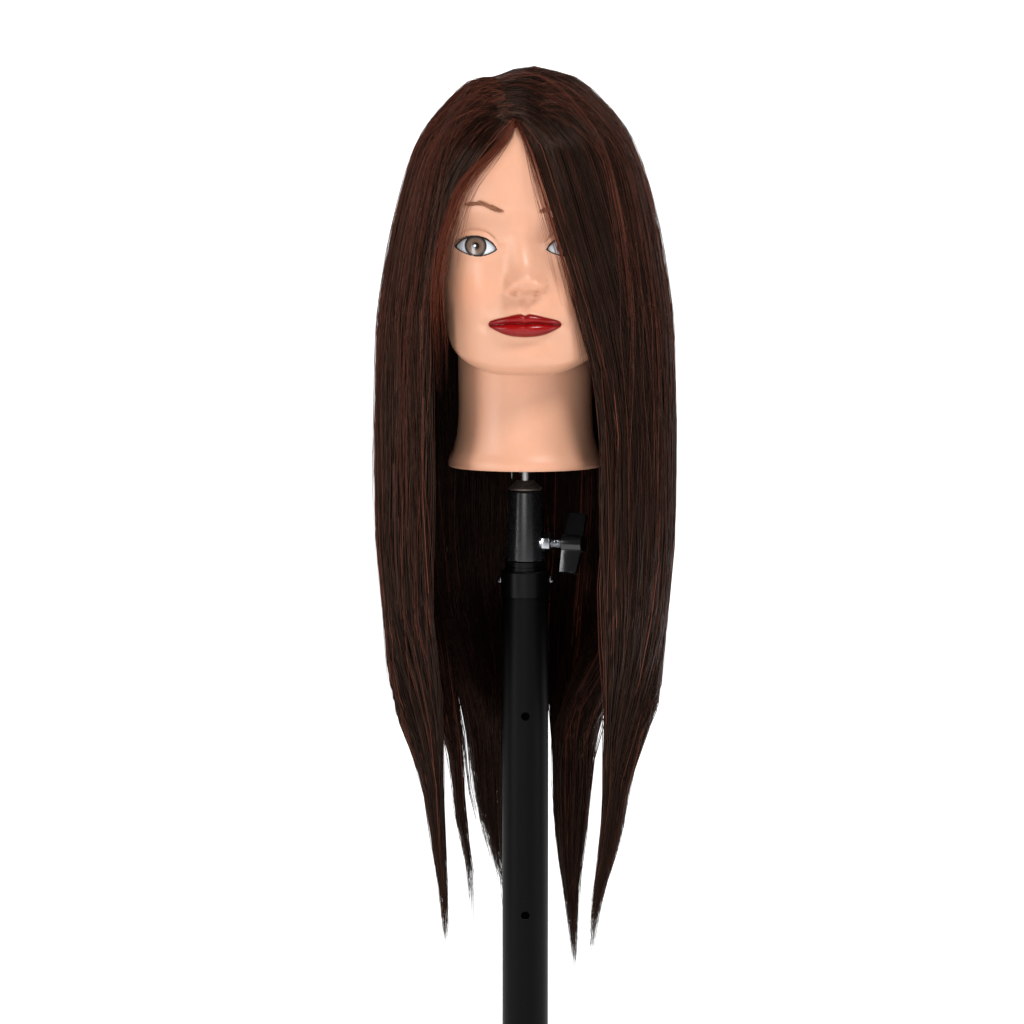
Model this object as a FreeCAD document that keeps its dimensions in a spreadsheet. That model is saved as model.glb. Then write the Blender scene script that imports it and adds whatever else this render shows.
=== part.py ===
"""Mannequin training head on a clamp holder and its post.

Units are millimetres and degrees. +Z is up, the face looks towards -Y, and left and right are the
head's own, so its left is +X. The origin is the centre of the post's lower end, on the one axis
that the post, the holder sleeve, the spigot rod and the neck share.
"""

import FreeCAD, Part
import math
import os
import Sketcher
from FreeCAD import Placement, Rotation, Vector

# Driving dimensions, which fill the spreadsheet.
SIZES = {
    # Post: a drawn steel tube with two holes for a lock pin.
    "post_radius": 17.5,
    "post_wall": 1.5,
    "post_length": 388.0,
    "post_neck_low": 384.5,
    "post_neck_depth": 0.5,
    "lock_hole_radius": 3.25,
    "lock_hole_low": 142.0,
    "lock_hole_high": 295.0,
    # Post cap: a moulded cap over the tube's top, held by two side screws.
    "cap_skirt_low": 385.1,
    "cap_spigot_low": 370.0,
    "cap_spigot_wall": 3.0,
    "cap_edge": 1.0,
    "cap_wall": 1.0,
    "cap_gap": 0.1,
    "cap_plate_low": 400.5,
    "cap_plate_high": 404.5,
    "cap_stem_radius": 10.0,
    "cap_stem_high": 413.5,
    "side_screw_height": 397.5,
    "side_screw_radius": 1.6,
    "side_shank_length": 7.0,
    "side_head_radius": 3.2,
    "side_head_height": 2.2,
    "side_dome_inset": 1.3,
    # Collar ring between the cap and the sleeve.
    "collar_radius": 15.2,
    "collar_high": 411.5,
    "collar_groove_low": 407.1,
    "collar_groove_high": 408.5,
    "collar_groove_depth": 0.8,
    # Holder sleeve, its steel bush and the bolt that ties the bush to the cap.
    "sleeve_low_radius": 14.9,
    "sleeve_top_radius": 12.6,
    "sleeve_high": 465.5,
    "sleeve_rim": 1.2,
    "bush_radius": 7.0,
    "bush_floor": 416.5,
    "bush_bore": 4.83,
    "bolt_radius": 2.5,
    "bolt_high": 416.0,
    "bolt_head_radius": 5.0,
    "bolt_head_height": 3.5,
    # Clamp: nut, pad and wing screw on one axis, which points left and a little forward.
    "clamp_height": 426.0,
    "clamp_azimuth": -20.0,
    "hole_reach": 40.0,
    "thread_radius": 4.0,
    "thread_gap": 0.06,
    "thread_chamfer": 0.6,
    "nut_corner_radius": 7.5,
    "nut_start": 15.2,
    "nut_length": 6.3,
    "nut_stem_radius": 5.6,
    "nut_stem_start": 7.6,
    "pad_start": 4.85,
    "pad_radius": 3.4,
    "pad_length": 2.1,
    "pad_stem_radius": 1.5,
    "pad_stem_length": 2.5,
    "pad_stem_play": 0.4,
    "screw_start": 7.05,
    "screw_length": 35.0,
    "knob_start": 30.0,
    "knob_length": 17.0,
    "knob_hub_radius": 7.0,
    "knob_edge": 0.8,
    "wing_reach": 24.0,
    "wing_tip_inset": 2.0,
    "wing_root_inset": 1.5,
    "wing_thickness": 5.0,
    "wing_roll": 28.0,
    # Spigot rod and the seat that carries it on the sleeve.
    "rod_radius": 4.75,
    "rod_low": 417.1,
    "rod_high": 579.9,
    "rod_chamfer": 1.2,
    "seat_low": 465.8,
    "seat_lip": 467.3,
    "seat_high": 473.0,
    "seat_radius": 13.2,
    "seat_top_radius": 5.6,
    "seat_gap": 0.05,
    # Neck: plug and socket bush inside the vinyl skin.
    "skin_wall": 4.0,
    "plug_low": 486.5,
    "plug_high": 493.0,
    "plug_radius": 50.3,
    "plug_top_radius": 45.5,
    "plug_boss_radius": 18.0,
    "plug_boss_high": 507.0,
    "plug_tube_radius": 12.0,
    "plug_tube_high": 578.0,
    "socket_radius": 6.8,
    "socket_bore": 4.83,
    "socket_top": 580.0,
    "socket_cap": 3.0,
    # Nose: half of an egg that stands out of the face.
    "nose_height": 625.0,
    "nose_depth": 86.0,
    "nose_half_width": 13.0,
    "nose_reach": 17.0,
    "nose_half_height": 22.0,
    # Eyes: inserts in almond openings.
    "eye_offset": 35.2,
    "eye_height": 651.8,
    "eye_half_width": 15.7,
    "eye_half_height": 8.0,
    "eye_sunk": 1.5,
    "eye_thickness": 6.0,
    "eye_gap": 0.15,
    # Hair: one thick coat, cut into the sections that a stylist clips apart.
    "hair_skin_gap": 0.6,
    "hair_section_gap": 0.6,
    "hair_thickness": 10.0,
    "hair_crown_low": 640.0,
    "hair_parting": -13.0,
    "hair_side_low": 150.0,
    "hair_back_low": 118.0,
}

# Rings of the head from the neck's base to the crown: height, half-width, reach to the front, reach
# to the back.
HEAD_RINGS = {
    "neck_base": (484.5, 58.0, 58.0, 58.0),
    "neck_low": (500.0, 53.5, 54.0, 55.0),
    "neck_mid": (525.0, 50.5, 52.0, 54.0),
    "under_chin": (549.0, 51.0, 56.0, 57.0),
    "chin": (564.0, 53.0, 80.0, 61.0),
    "mouth": (594.0, 60.5, 89.0, 74.0),
    "cheek": (625.0, 65.5, 89.0, 87.0),
    "eye_line": (652.0, 70.0, 87.0, 94.0),
    "brow": (682.0, 73.5, 88.0, 98.0),
    "forehead": (712.0, 73.0, 84.0, 97.0),
    "hairline": (738.0, 65.0, 74.0, 89.0),
    "crown_low": (757.0, 51.0, 58.0, 73.0),
    "crown_high": (770.0, 30.0, 35.0, 48.0),
    "crown": (775.5, 9.0, 10.0, 18.0),
}

# Rings of the hair's outside, from the tips to the crown, in the same terms.
HAIR_RINGS = {
    "hair_tips": (111.0, 67.0, 68.0, 73.0),
    "hair_wisps": (155.0, 70.5, 70.0, 77.0),
    "hair_ends": (200.0, 76.0, 73.0, 83.0),
    "hair_thin": (250.0, 87.0, 78.0, 91.0),
    "hair_low": (300.0, 103.0, 82.0, 99.0),
    "hair_hang": (400.0, 112.0, 86.0, 106.0),
    "hair_neck": (500.0, 114.0, 90.0, 110.0),
    "hair_jaw": (590.0, 111.5, 96.0, 112.0),
    "hair_ear": (640.0, 104.5, 99.0, 111.5),
    "hair_temple": (692.0, 94.0, 95.0, 107.0),
    "hair_forehead": (725.0, 83.0, 84.0, 98.0),
    "hair_rise": (755.0, 62.0, 62.0, 77.0),
    "hair_crown": (776.0, 38.0, 38.0, 49.0),
    "hair_top": (784.0, 9.0, 9.0, 15.0),
}

# The bare face between the two falls of hair: offset and height of each corner.
FACE_WINDOW = {
    "window_apex": (-4.0, 737.0),
    "window_fringe_high": (15.0, 674.0),
    "window_fringe_low": (45.0, 579.0),
    "window_left_low": (58.0, 500.0),
    "window_left_end": (58.0, 100.0),
    "window_right_end": (-58.0, 100.0),
    "window_right_low": (-58.0, 604.0),
    "window_temple": (-53.0, 660.0),
    "window_right_high": (-40.0, 706.0),
}

RING_PARTS = ("height", "width", "front", "back")
CORNER_PARTS = ("offset", "height")
RING_POINTS = 16
FAR = 400.0  # beyond the object on every side
RUN_ON = 5.0  # how far a cut goes on past an open end
EYE_BLOCK_DEPTH = 120.0  # past the face, from the middle of the head

for rings in (HEAD_RINGS, HAIR_RINGS):
    for ring, numbers in rings.items():
        for part, number in zip(RING_PARTS, numbers):
            SIZES[f"{ring}_{part}"] = number
for corner, numbers in FACE_WINDOW.items():
    for part, number in zip(CORNER_PARTS, numbers):
        SIZES[f"{corner}_{part}"] = number

doc = FreeCAD.newDocument("training_head")
sheet = doc.addObject("Spreadsheet::Sheet", "Sizes")
for row, (alias, number) in enumerate(SIZES.items(), start=1):
    sheet.set(f"A{row}", alias)
    sheet.set(f"B{row}", str(number))
    sheet.setAlias(f"B{row}", alias)
doc.recompute()

subparts = []


def size(text):
    """The value of a sum of sizes, such as "post_radius - post_wall"."""
    total, sign = 0.0, 1.0
    for word in text.split():
        if word in "+-":
            sign = 1.0 if word == "+" else -1.0
        else:
            total += sign * (sheet.get(word) if word in SIZES else float(word))
    return total


def formula(text):
    """The same sum as an expression that reads the sheet."""
    return " ".join(f"Sizes.{word}" if word in SIZES else word for word in text.split())


def keep(item, label):
    """Take an object as the finished sub-part of that name."""
    item.Label = label
    subparts.append(item)
    return item


def new_sketch(body, name, role):
    """A sketch on one of the body's own origin planes."""
    sketch = body.newObject("Sketcher::SketchObject", name)
    plane = next(item for item in body.Origin.OriginFeatures if item.Role == role)
    sketch.AttachmentSupport = [(plane, "")]
    sketch.MapMode = "FlatFace"
    return sketch


def bind_point(sketch, edge, end, across, up):
    """Hold one end of an edge at sums of sizes measured from the sketch's origin."""
    for kind, text in (("DistanceX", across), ("DistanceY", up)):
        index = sketch.addConstraint(Sketcher.Constraint(kind, -1, 1, edge, end, size(text)))
        sketch.setExpression(f"Constraints[{index}]", formula(text))


def polygon(sketch, corners):
    """A closed outline of straight edges through corners given as sums of sizes."""
    places = [Vector(size(across), size(up), 0) for across, up in corners]
    count = len(places)
    for i in range(count):
        sketch.addGeometry(Part.LineSegment(places[i], places[(i + 1) % count]), False)
    for i in range(count):
        sketch.addConstraint(Sketcher.Constraint("Coincident", i, 2, (i + 1) % count, 1))
        bind_point(sketch, i, 1, *corners[i])


def turned(name, outline):
    """A body turned about its Z axis from an outline of (radius, height) corners."""
    body = doc.addObject("PartDesign::Body", name)
    sketch = new_sketch(body, name + "_outline", "XZ_Plane")
    polygon(sketch, outline)
    turn = body.newObject("PartDesign::Revolution", name + "_turn")
    turn.Profile = sketch
    turn.ReferenceAxis = (sketch, ["V_Axis"])
    turn.Angle = 360.0
    doc.recompute()
    return body


def drill(body, name, role, radius, heights, one_side=False):
    """Round holes across the body: through both walls, or only towards one side."""
    sketch = new_sketch(body, name + "_circles", role)
    for index, up in enumerate(heights):
        sketch.addGeometry(Part.Circle(Vector(0, size(up), 0), Vector(0, 0, 1), size(radius)), False)
        bind_point(sketch, index, 3, "0", up)
        ring = sketch.addConstraint(Sketcher.Constraint("Radius", index, size(radius)))
        sketch.setExpression(f"Constraints[{ring}]", formula(radius))
    before = body.Shape.Volume
    pocket = body.newObject("PartDesign::Pocket", name)
    pocket.Profile = sketch
    pocket.Type = "Length"
    pocket.Length = FAR
    pocket.Midplane = not one_side
    pocket.Reversed = one_side
    doc.recompute()
    if body.Shape.Volume > before - 1.0:
        raise RuntimeError(f"{name} cut nothing")
    return pocket


def on_clamp_axis(item, roll=0.0):
    """Lay an object's own Z axis along the clamp screw's axis, turned about it by roll."""
    lie = Rotation(Vector(0, 0, 1), size("clamp_azimuth")) * Rotation(Vector(0, 1, 0), 90)
    item.Placement = Placement(Vector(0, 0, size("clamp_height")), lie * Rotation(Vector(0, 0, 1), roll))
    item.setExpression("Placement.Base.z", "Sizes.clamp_height")


def primitive(kind, name, **bound):
    """A Part primitive whose sizes are bound to sums of sizes."""
    item = doc.addObject(kind, name)
    for prop, text in bound.items():
        item.setExpression(prop, formula(text))
    return item


def joined(kind, name, base, tool):
    """A boolean of two objects."""
    item = doc.addObject(kind, name)
    item.Base, item.Tool = base, tool
    return item


# Post and cap

INNER_POST = "post_radius - post_wall"


def make_post():
    """The tube, turned down a little at its top for the cap's skirt."""
    post = turned(
        "post_tube",
        [
            (INNER_POST, "0"),
            ("post_radius", "0"),
            ("post_radius", "post_neck_low"),
            ("post_radius - post_neck_depth", "post_neck_low"),
            ("post_radius - post_neck_depth", "post_length"),
            (INNER_POST, "post_length"),
        ],
    )
    drill(post, "lock_holes", "XZ_Plane", "lock_hole_radius", ["lock_hole_low", "lock_hole_high"])
    keep(post, "post_tube")


def make_cap():
    """A cap whose skirt goes over the tube and whose spigot goes into it."""
    skirt = "post_radius - post_neck_depth + cap_gap"
    rim = "post_radius + cap_gap + cap_wall"
    spigot = "post_radius - post_wall - cap_gap"
    hollow = "post_radius - post_wall - cap_gap - cap_spigot_wall"
    cap = turned(
        "post_cap",
        [
            ("bolt_radius + cap_gap", "cap_plate_low"),
            (hollow, "cap_plate_low"),
            (hollow, "cap_spigot_low"),
            (spigot, "cap_spigot_low"),
            (spigot, "post_length + cap_gap"),
            (skirt, "post_length + cap_gap"),
            (skirt, "cap_skirt_low"),
            (rim, "cap_skirt_low"),
            (rim, "cap_plate_high - cap_edge"),
            (rim + " - cap_edge", "cap_plate_high"),
            ("cap_stem_radius", "cap_plate_high"),
            ("cap_stem_radius", "cap_stem_high"),
            ("bolt_radius + cap_gap", "cap_stem_high"),
        ],
    )
    drill(cap, "side_screw_holes", "YZ_Plane", "side_screw_radius + cap_gap", ["side_screw_height"])
    keep(cap, "post_cap")


def make_side_screws():
    """Two dome-headed screws, one each side, in the cap's thick shoulder."""
    pair = []
    for name, side in (("side_screw_left", 1), ("side_screw_right", -1)):
        shank = primitive("Part::Cylinder", name + "_shank", Radius="side_screw_radius", Height="side_shank_length")
        head = primitive(
            "Part::Cone",
            name + "_head",
            Radius1="side_head_radius",
            Radius2="side_head_radius - side_dome_inset",
            Height="side_head_height",
        )
        start = size("post_radius + cap_gap + cap_wall")
        shank.Placement = Placement(Vector(0, 0, start - size("side_shank_length")), Rotation())
        head.Placement = Placement(Vector(0, 0, start), Rotation())
        screw = joined("Part::Fuse", name, shank, head)
        screw.Placement = Placement(Vector(0, 0, 0), Rotation(Vector(0, 1, 0), 90 * side))
        screw.setExpression("Placement.Base.z", "Sizes.side_screw_height")
        pair.append(screw)
    group = doc.addObject("Part::Compound", "cap_screws")
    group.Links = pair
    keep(group, "cap_screws")


def make_collar():
    inside = "cap_stem_radius + cap_gap"
    groove = "collar_radius - collar_groove_depth"
    collar = turned(
        "collar_ring",
        [
            (inside, "cap_plate_high"),
            ("collar_radius", "cap_plate_high"),
            ("collar_radius", "collar_groove_low"),
            (groove, "collar_groove_low"),
            (groove, "collar_groove_high"),
            ("collar_radius", "collar_groove_high"),
            ("collar_radius", "collar_high"),
            (inside, "collar_high"),
        ],
    )
    keep(collar, "collar_ring")


# Holder sleeve


def make_sleeve():
    """The tapered barrel, with a side hole for the clamp nut's stem."""
    inside = "bush_radius + cap_gap"
    counterbore = "cap_stem_radius + cap_gap"
    sleeve = turned(
        "sleeve_barrel",
        [
            (counterbore, "collar_high"),
            ("sleeve_low_radius - sleeve_rim", "collar_high"),
            ("sleeve_low_radius", "collar_high + sleeve_rim"),
            ("sleeve_top_radius", "sleeve_high - sleeve_rim"),
            ("sleeve_top_radius - sleeve_rim", "sleeve_high"),
            (inside, "sleeve_high"),
            (inside, "cap_stem_high + cap_gap"),
            (counterbore, "cap_stem_high + cap_gap"),
        ],
    )
    hole = primitive("Part::Cylinder", "nut_hole", Radius="nut_stem_radius + cap_gap", Height="hole_reach")
    on_clamp_axis(hole)
    keep(joined("Part::Cut", "holder_sleeve_cut", sleeve, hole), "holder_sleeve")


def make_bush():
    """The steel bush that guides the rod, with a floor for the tie bolt and a window for the pad."""
    tap = "bolt_radius + cap_gap"
    low = "cap_stem_high + cap_gap"
    bush = turned(
        "bush_tube",
        [
            (tap, low),
            ("bush_radius", low),
            ("bush_radius", "sleeve_high"),
            ("bush_bore", "sleeve_high"),
            ("bush_bore", "bush_floor"),
            (tap, "bush_floor"),
        ],
    )
    window = primitive("Part::Cylinder", "pad_window", Radius="pad_radius + cap_gap", Height="hole_reach")
    on_clamp_axis(window)
    keep(joined("Part::Cut", "sleeve_bush_cut", bush, window), "sleeve_bush")


def make_tie_bolt():
    """The hexagon bolt that pulls the bush and the sleeve down onto the cap."""
    head = primitive("Part::Prism", "bolt_head", Circumradius="bolt_head_radius", Height="bolt_head_height")
    head.Polygon = 6
    head.setExpression("Placement.Base.z", formula("cap_plate_low - bolt_head_height"))
    shank = primitive("Part::Cylinder", "bolt_shank", Radius="bolt_radius", Height="bolt_high - cap_plate_low")
    shank.setExpression("Placement.Base.z", "Sizes.cap_plate_low")
    keep(joined("Part::Fuse", "tie_bolt_fuse", head, shank), "tie_bolt")


# Clamp


def make_clamp_nut():
    """A hexagon insert nut whose stem sits in the sleeve's side hole."""
    head = primitive("Part::Prism", "nut_head", Circumradius="nut_corner_radius", Height="nut_length")
    head.Polygon = 6
    head.setExpression("Placement.Base.z", "Sizes.nut_start")
    stem = primitive("Part::Cylinder", "nut_stem", Radius="nut_stem_radius", Height="nut_start - nut_stem_start")
    stem.setExpression("Placement.Base.z", "Sizes.nut_stem_start")
    blank = joined("Part::Fuse", "nut_blank", head, stem)
    bore = primitive("Part::Cylinder", "nut_bore", Radius="thread_radius + thread_gap", Height="hole_reach")
    nut = joined("Part::Cut", "clamp_nut_cut", blank, bore)
    on_clamp_axis(nut)
    keep(nut, "clamp_nut")


def make_clamp_pad():
    """The swivelling pad at the screw's tip."""
    disc_end = "pad_start + pad_length"
    stem_end = disc_end + " + pad_stem_length"
    pad = turned(
        "clamp_pad",
        [
            ("0", "pad_start"),
            ("pad_radius", "pad_start"),
            ("pad_radius", disc_end),
            ("pad_stem_radius", disc_end),
            ("pad_stem_radius", stem_end),
            ("0", stem_end),
        ],
    )
    on_clamp_axis(pad)
    keep(pad, "clamp_pad")


def make_wing_screw():
    """The threaded shank, hollow at its tip for the pad's stem."""
    end = "screw_start + screw_length"
    socket = "pad_stem_radius + thread_gap"
    socket_end = "screw_start + pad_stem_length + pad_stem_play"
    shank = turned(
        "wing_screw",
        [
            (socket, "screw_start"),
            ("thread_radius - thread_chamfer", "screw_start"),
            ("thread_radius", "screw_start + thread_chamfer"),
            ("thread_radius", end),
            ("0", end),
            ("0", socket_end),
            (socket, socket_end),
        ],
    )
    on_clamp_axis(shank)
    keep(shank, "wing_screw")


def make_wing_knob():
    """A moulded knob: a hub over the shank's end, with two wings that narrow towards their tips."""
    bore = "thread_radius + thread_gap"
    bore_end = "screw_start + screw_length + cap_gap"
    end = "knob_start + knob_length"
    knob = turned(
        "wing_knob",
        [
            (bore, "knob_start"),
            ("knob_hub_radius - knob_edge", "knob_start"),
            ("knob_hub_radius", "knob_start + knob_edge"),
            ("knob_hub_radius", end + " - knob_edge"),
            ("knob_hub_radius - knob_edge", end),
            ("0", end),
            ("0", bore_end),
            (bore, bore_end),
        ],
    )
    wings = (
        ("near", "knob_hub_radius - wing_root_inset", "wing_reach"),
        ("far", "0 - knob_hub_radius + wing_root_inset", "0 - wing_reach"),
    )
    for side, root, reach in wings:
        sketch = new_sketch(knob, f"wing_{side}_outline", "XZ_Plane")
        polygon(
            sketch,
            [
                (root, "knob_start + knob_edge"),
                (reach, "knob_start + wing_tip_inset"),
                (reach, end + " - wing_tip_inset"),
                (root, end + " - knob_edge"),
            ],
        )
        wing = knob.newObject("PartDesign::Pad", f"wing_{side}")
        wing.Profile = sketch
        wing.setExpression("Length", "Sizes.wing_thickness")
        wing.Midplane = True
        doc.recompute()
    on_clamp_axis(knob, -size("wing_roll"))
    keep(knob, "wing_knob")


# Spigot


def make_rod():
    rod = turned(
        "spigot_rod",
        [
            ("0", "rod_low"),
            ("rod_radius - rod_chamfer", "rod_low"),
            ("rod_radius", "rod_low + rod_chamfer"),
            ("rod_radius", "rod_high - rod_chamfer"),
            ("rod_radius - rod_chamfer", "rod_high"),
            ("0", "rod_high"),
        ],
    )
    keep(rod, "spigot_rod")


def make_seat():
    inside = "rod_radius + seat_gap"
    seat = turned(
        "rod_seat",
        [
            (inside, "seat_low"),
            ("seat_radius", "seat_low"),
            ("seat_radius", "seat_lip"),
            ("seat_top_radius", "seat_high"),
            (inside, "seat_high"),
        ],
    )
    keep(seat, "rod_seat")


# Neck


def make_neck_plug():
    """The stiff disc that closes the neck, with the tube that holds the socket bush."""
    inside = "socket_radius + cap_gap"
    plug = turned(
        "neck_plug",
        [
            (inside, "plug_low"),
            ("plug_radius", "plug_low"),
            ("plug_top_radius", "plug_high"),
            ("plug_boss_radius", "plug_high"),
            ("plug_tube_radius", "plug_boss_high"),
            ("plug_tube_radius", "plug_tube_high"),
            (inside, "plug_tube_high"),
        ],
    )
    keep(plug, "neck_plug")


def make_socket_bush():
    top = "socket_top + socket_cap"
    bush = turned(
        "socket_bush",
        [
            ("socket_bore", "plug_low"),
            ("socket_radius", "plug_low"),
            ("socket_radius", top),
            ("0", top),
            ("0", "socket_top"),
            ("socket_bore", "socket_top"),
        ],
    )
    keep(bush, "socket_bush")


# Skin, eyes and hair: free forms lofted through rings


def ring_wire(ring, grow, squeeze, base):
    """One closed ring, grown outwards, its height stretched about the base."""
    height, width, front, back = (size(f"{ring}_{part}") for part in RING_PARTS)
    places = []
    for step in range(RING_POINTS):
        turn = 2 * math.pi * step / RING_POINTS
        reach = back if math.sin(turn) > 0 else front
        across = (width + grow) * math.cos(turn)
        depth = (reach + grow) * math.sin(turn)
        places.append(Vector(across, depth, base + (height - base) * squeeze))
    curve = Part.BSplineCurve()
    curve.interpolate(Points=places, PeriodicFlag=True)
    return Part.Wire([curve.toShape()])


def lofted(rings, grow=0.0, below=0.0):
    """A smooth solid through all the rings, grown outwards and run on below its lowest ring."""
    names = list(rings)
    base = size(names[0] + "_height")
    top = size(names[-1] + "_height")
    squeeze = 1 + grow / (top - base)
    wires = [ring_wire(name, grow, squeeze, base) for name in names]
    solid = Part.makeLoft(wires, True, False)
    if below:
        floor = Part.Face(wires[0])
        solid = solid.fuse(floor.extrude(Vector(0, 0, -below)))
    return solid


def feature(label, shape):
    """A Part::Feature that holds a shape built from the sheet's sizes."""
    item = doc.addObject("Part::Feature", label)
    item.Shape = shape
    item.Placement = Placement()
    return keep(item, label)


def eye_block(side, grow):
    """An almond-sized oval block that runs from the face to the middle of the head."""
    wide, tall = size("eye_half_width") + grow, size("eye_half_height") + grow
    oval = Part.Ellipse(Vector(0, 0, 0), wide, tall).toShape()
    block = Part.Face(Part.Wire([oval])).extrude(Vector(0, 0, EYE_BLOCK_DEPTH))
    turn = Rotation(Vector(1, 0, 0), 90)
    block.Placement = Placement(Vector(side * size("eye_offset"), 0, size("eye_height")), turn)
    return block


def nose_egg():
    """An egg at the nose's root, as a unit ball stretched three ways."""
    stretch = FreeCAD.Matrix()
    stretch.scale(size("nose_half_width"), size("nose_reach"), size("nose_half_height"))
    egg = Part.makeSphere(1.0).transformGeometry(stretch)
    egg.translate(Vector(0, -size("nose_depth"), size("nose_height")))
    return egg


def make_skin_and_eyes():
    outside = lofted(HEAD_RINGS).fuse(nose_egg())
    skin = outside.cut(lofted(HEAD_RINGS, -size("skin_wall"), RUN_ON))
    sunk = lofted(HEAD_RINGS, -size("eye_sunk"))
    core = lofted(HEAD_RINGS, -size("eye_sunk + eye_thickness"))
    layer = sunk.cut(core)
    for label, side in (("left_eye", 1), ("right_eye", -1)):
        skin = skin.cut(eye_block(side, 0.0))
        feature(label, layer.common(eye_block(side, -size("eye_gap"))).Solids[0])
    feature("head_skin", skin.Solids[0])


def half_space(x_low=-FAR, x_high=FAR, y_low=-FAR, y_high=FAR, z_low=-FAR, z_high=3 * FAR):
    """A box between the limits given, and far beyond the object elsewhere."""
    corner = Vector(x_low, y_low, z_low)
    return Part.makeBox(x_high - x_low, y_high - y_low, z_high - z_low, corner)


def wedge(start, end, side, low, high):
    """A slice of the round between two angles, counted from the front towards one side."""
    corners = [Vector(0, 0, low)]
    steps = 3
    for step in range(steps + 1):
        turn = math.radians(start + (end - start) * step / steps)
        corners.append(Vector(side * FAR * math.sin(turn), -FAR * math.cos(turn), low))
    face = Part.Face(Part.makePolygon(corners + corners[:1]))
    return face.extrude(Vector(0, 0, high - low))


def make_hair():
    coat = lofted(HAIR_RINGS)
    curtain = coat.cut(lofted(HAIR_RINGS, -size("hair_thickness"), RUN_ON))
    crown = coat.cut(lofted(HEAD_RINGS, size("hair_skin_gap")))
    corners = [Vector(size(f"{c}_offset"), 0, size(f"{c}_height")) for c in FACE_WINDOW]
    window = Part.Face(Part.makePolygon(corners + corners[:1])).extrude(Vector(0, -FAR, 0))
    gap = size("hair_section_gap") / 2
    split = size("hair_crown_low")
    parting = size("hair_parting")
    quarters = (
        ("hair_fringe_left", half_space(x_low=parting + gap, y_high=-gap, z_low=split + gap)),
        ("hair_temple_right", half_space(x_high=parting - gap, y_high=-gap, z_low=split + gap)),
        ("hair_crown_left", half_space(x_low=parting + gap, y_low=gap, z_low=split + gap)),
        ("hair_crown_right", half_space(x_high=parting - gap, y_low=gap, z_low=split + gap)),
    )
    for label, quarter in quarters:
        piece = crown.common(quarter).cut(window)
        feature(label, max(piece.Solids, key=lambda solid: solid.Volume))
    side_low, back_low = size("hair_side_low"), size("hair_back_low")
    slices = (
        ("hair_side_left", 5, 84, 1, side_low),
        ("hair_side_right", 5, 84, -1, side_low),
        ("hair_back_left", 84.5, 142, 1, side_low),
        ("hair_back_right", 84.5, 142, -1, side_low),
        ("hair_nape", 142.5, 217.5, 1, back_low),
    )
    for label, start, end, side, low in slices:
        piece = curtain.common(wedge(start, end, side, low, split - gap)).cut(window)
        feature(label, max(piece.Solids, key=lambda solid: solid.Volume))


make_post()
make_cap()
make_side_screws()
make_collar()
make_sleeve()
make_bush()
make_tie_bolt()
make_clamp_nut()
make_clamp_pad()
make_wing_screw()
make_wing_knob()
make_rod()
make_seat()
make_neck_plug()
make_socket_bush()
make_skin_and_eyes()
make_hair()

doc.recompute()
for item in doc.Objects:
    if "Invalid" in item.State or "Error" in item.State:
        raise RuntimeError(f"{item.Label} failed: {item.State}")
for item in subparts:
    if item.Shape.isNull() or not item.Shape.isValid() or not item.Shape.Solids:
        raise RuntimeError(f"{item.Label} has no valid solid")

os.makedirs("parts", exist_ok=True)
for item in subparts:
    item.Shape.exportStep(os.path.join("parts", item.Label + ".step"))
    print(item.Label, len(item.Shape.Solids), round(item.Shape.Volume / 1000, 2), "cm3")
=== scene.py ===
"""Looks of the hairdresser's training head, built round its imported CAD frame.

Lengths in the tables are millimetres in the frame's own axes: +Z up, the face looks towards -Y, and
the head's own left is +X. Meshes are made in metres.
"""

import math

import bmesh
import bpy
import numpy as np
from mathutils import Matrix, Vector, noise


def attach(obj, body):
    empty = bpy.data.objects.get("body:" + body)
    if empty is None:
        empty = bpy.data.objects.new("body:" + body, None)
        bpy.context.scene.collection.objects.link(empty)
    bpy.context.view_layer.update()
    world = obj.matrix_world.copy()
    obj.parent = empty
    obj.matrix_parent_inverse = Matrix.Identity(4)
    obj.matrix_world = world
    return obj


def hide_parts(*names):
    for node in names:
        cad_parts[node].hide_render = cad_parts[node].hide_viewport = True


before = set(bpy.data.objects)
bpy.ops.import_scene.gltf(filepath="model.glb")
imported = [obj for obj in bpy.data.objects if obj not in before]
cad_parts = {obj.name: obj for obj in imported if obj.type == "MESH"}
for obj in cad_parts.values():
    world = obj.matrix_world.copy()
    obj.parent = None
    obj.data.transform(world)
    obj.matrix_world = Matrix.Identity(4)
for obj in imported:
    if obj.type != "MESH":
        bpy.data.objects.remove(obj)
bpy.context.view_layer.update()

MM = 0.001
LEFT, RIGHT = 1, -1

# ---------------------------------------------------------------- numbers and curves


def smooth(x, table):
    """A smooth curve through (x, y) pairs that never overshoots them."""
    xs, ys = (np.array(column, float) for column in zip(*sorted(table)))
    x = np.clip(np.asarray(x, float), xs[0], xs[-1])
    rise = np.diff(ys) / np.diff(xs)
    same = rise[1:] * rise[:-1] > 0
    mean = 2 * rise[1:] * rise[:-1] / np.where(same, rise[1:] + rise[:-1], 1)
    slope = np.concatenate([[rise[0]], np.where(same, mean, 0), [rise[-1]]])
    i = np.clip(np.searchsorted(xs, x) - 1, 0, len(xs) - 2)
    h = xs[i + 1] - xs[i]
    t = (x - xs[i]) / h
    start = ys[i] * (1 + 2 * t) * (1 - t) ** 2 + slope[i] * h * t * (1 - t) ** 2
    return start + ys[i + 1] * t * t * (3 - 2 * t) + slope[i + 1] * h * t * t * (t - 1)


def step(low, high, x):
    """0 below low, 1 above high, and a soft rise between."""
    t = np.clip((np.asarray(x, float) - low) / (high - low), 0, 1)
    return t * t * (3 - 2 * t)


def bump(x, z, at, size, power=2.0):
    """A soft mound of height 1 at a place, mirrored to both sides of the face."""
    far = np.hypot((off_middle(x, z) - at[0]) / size[0], (z - at[1]) / size[1])
    return np.exp(-(far**power))


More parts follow.
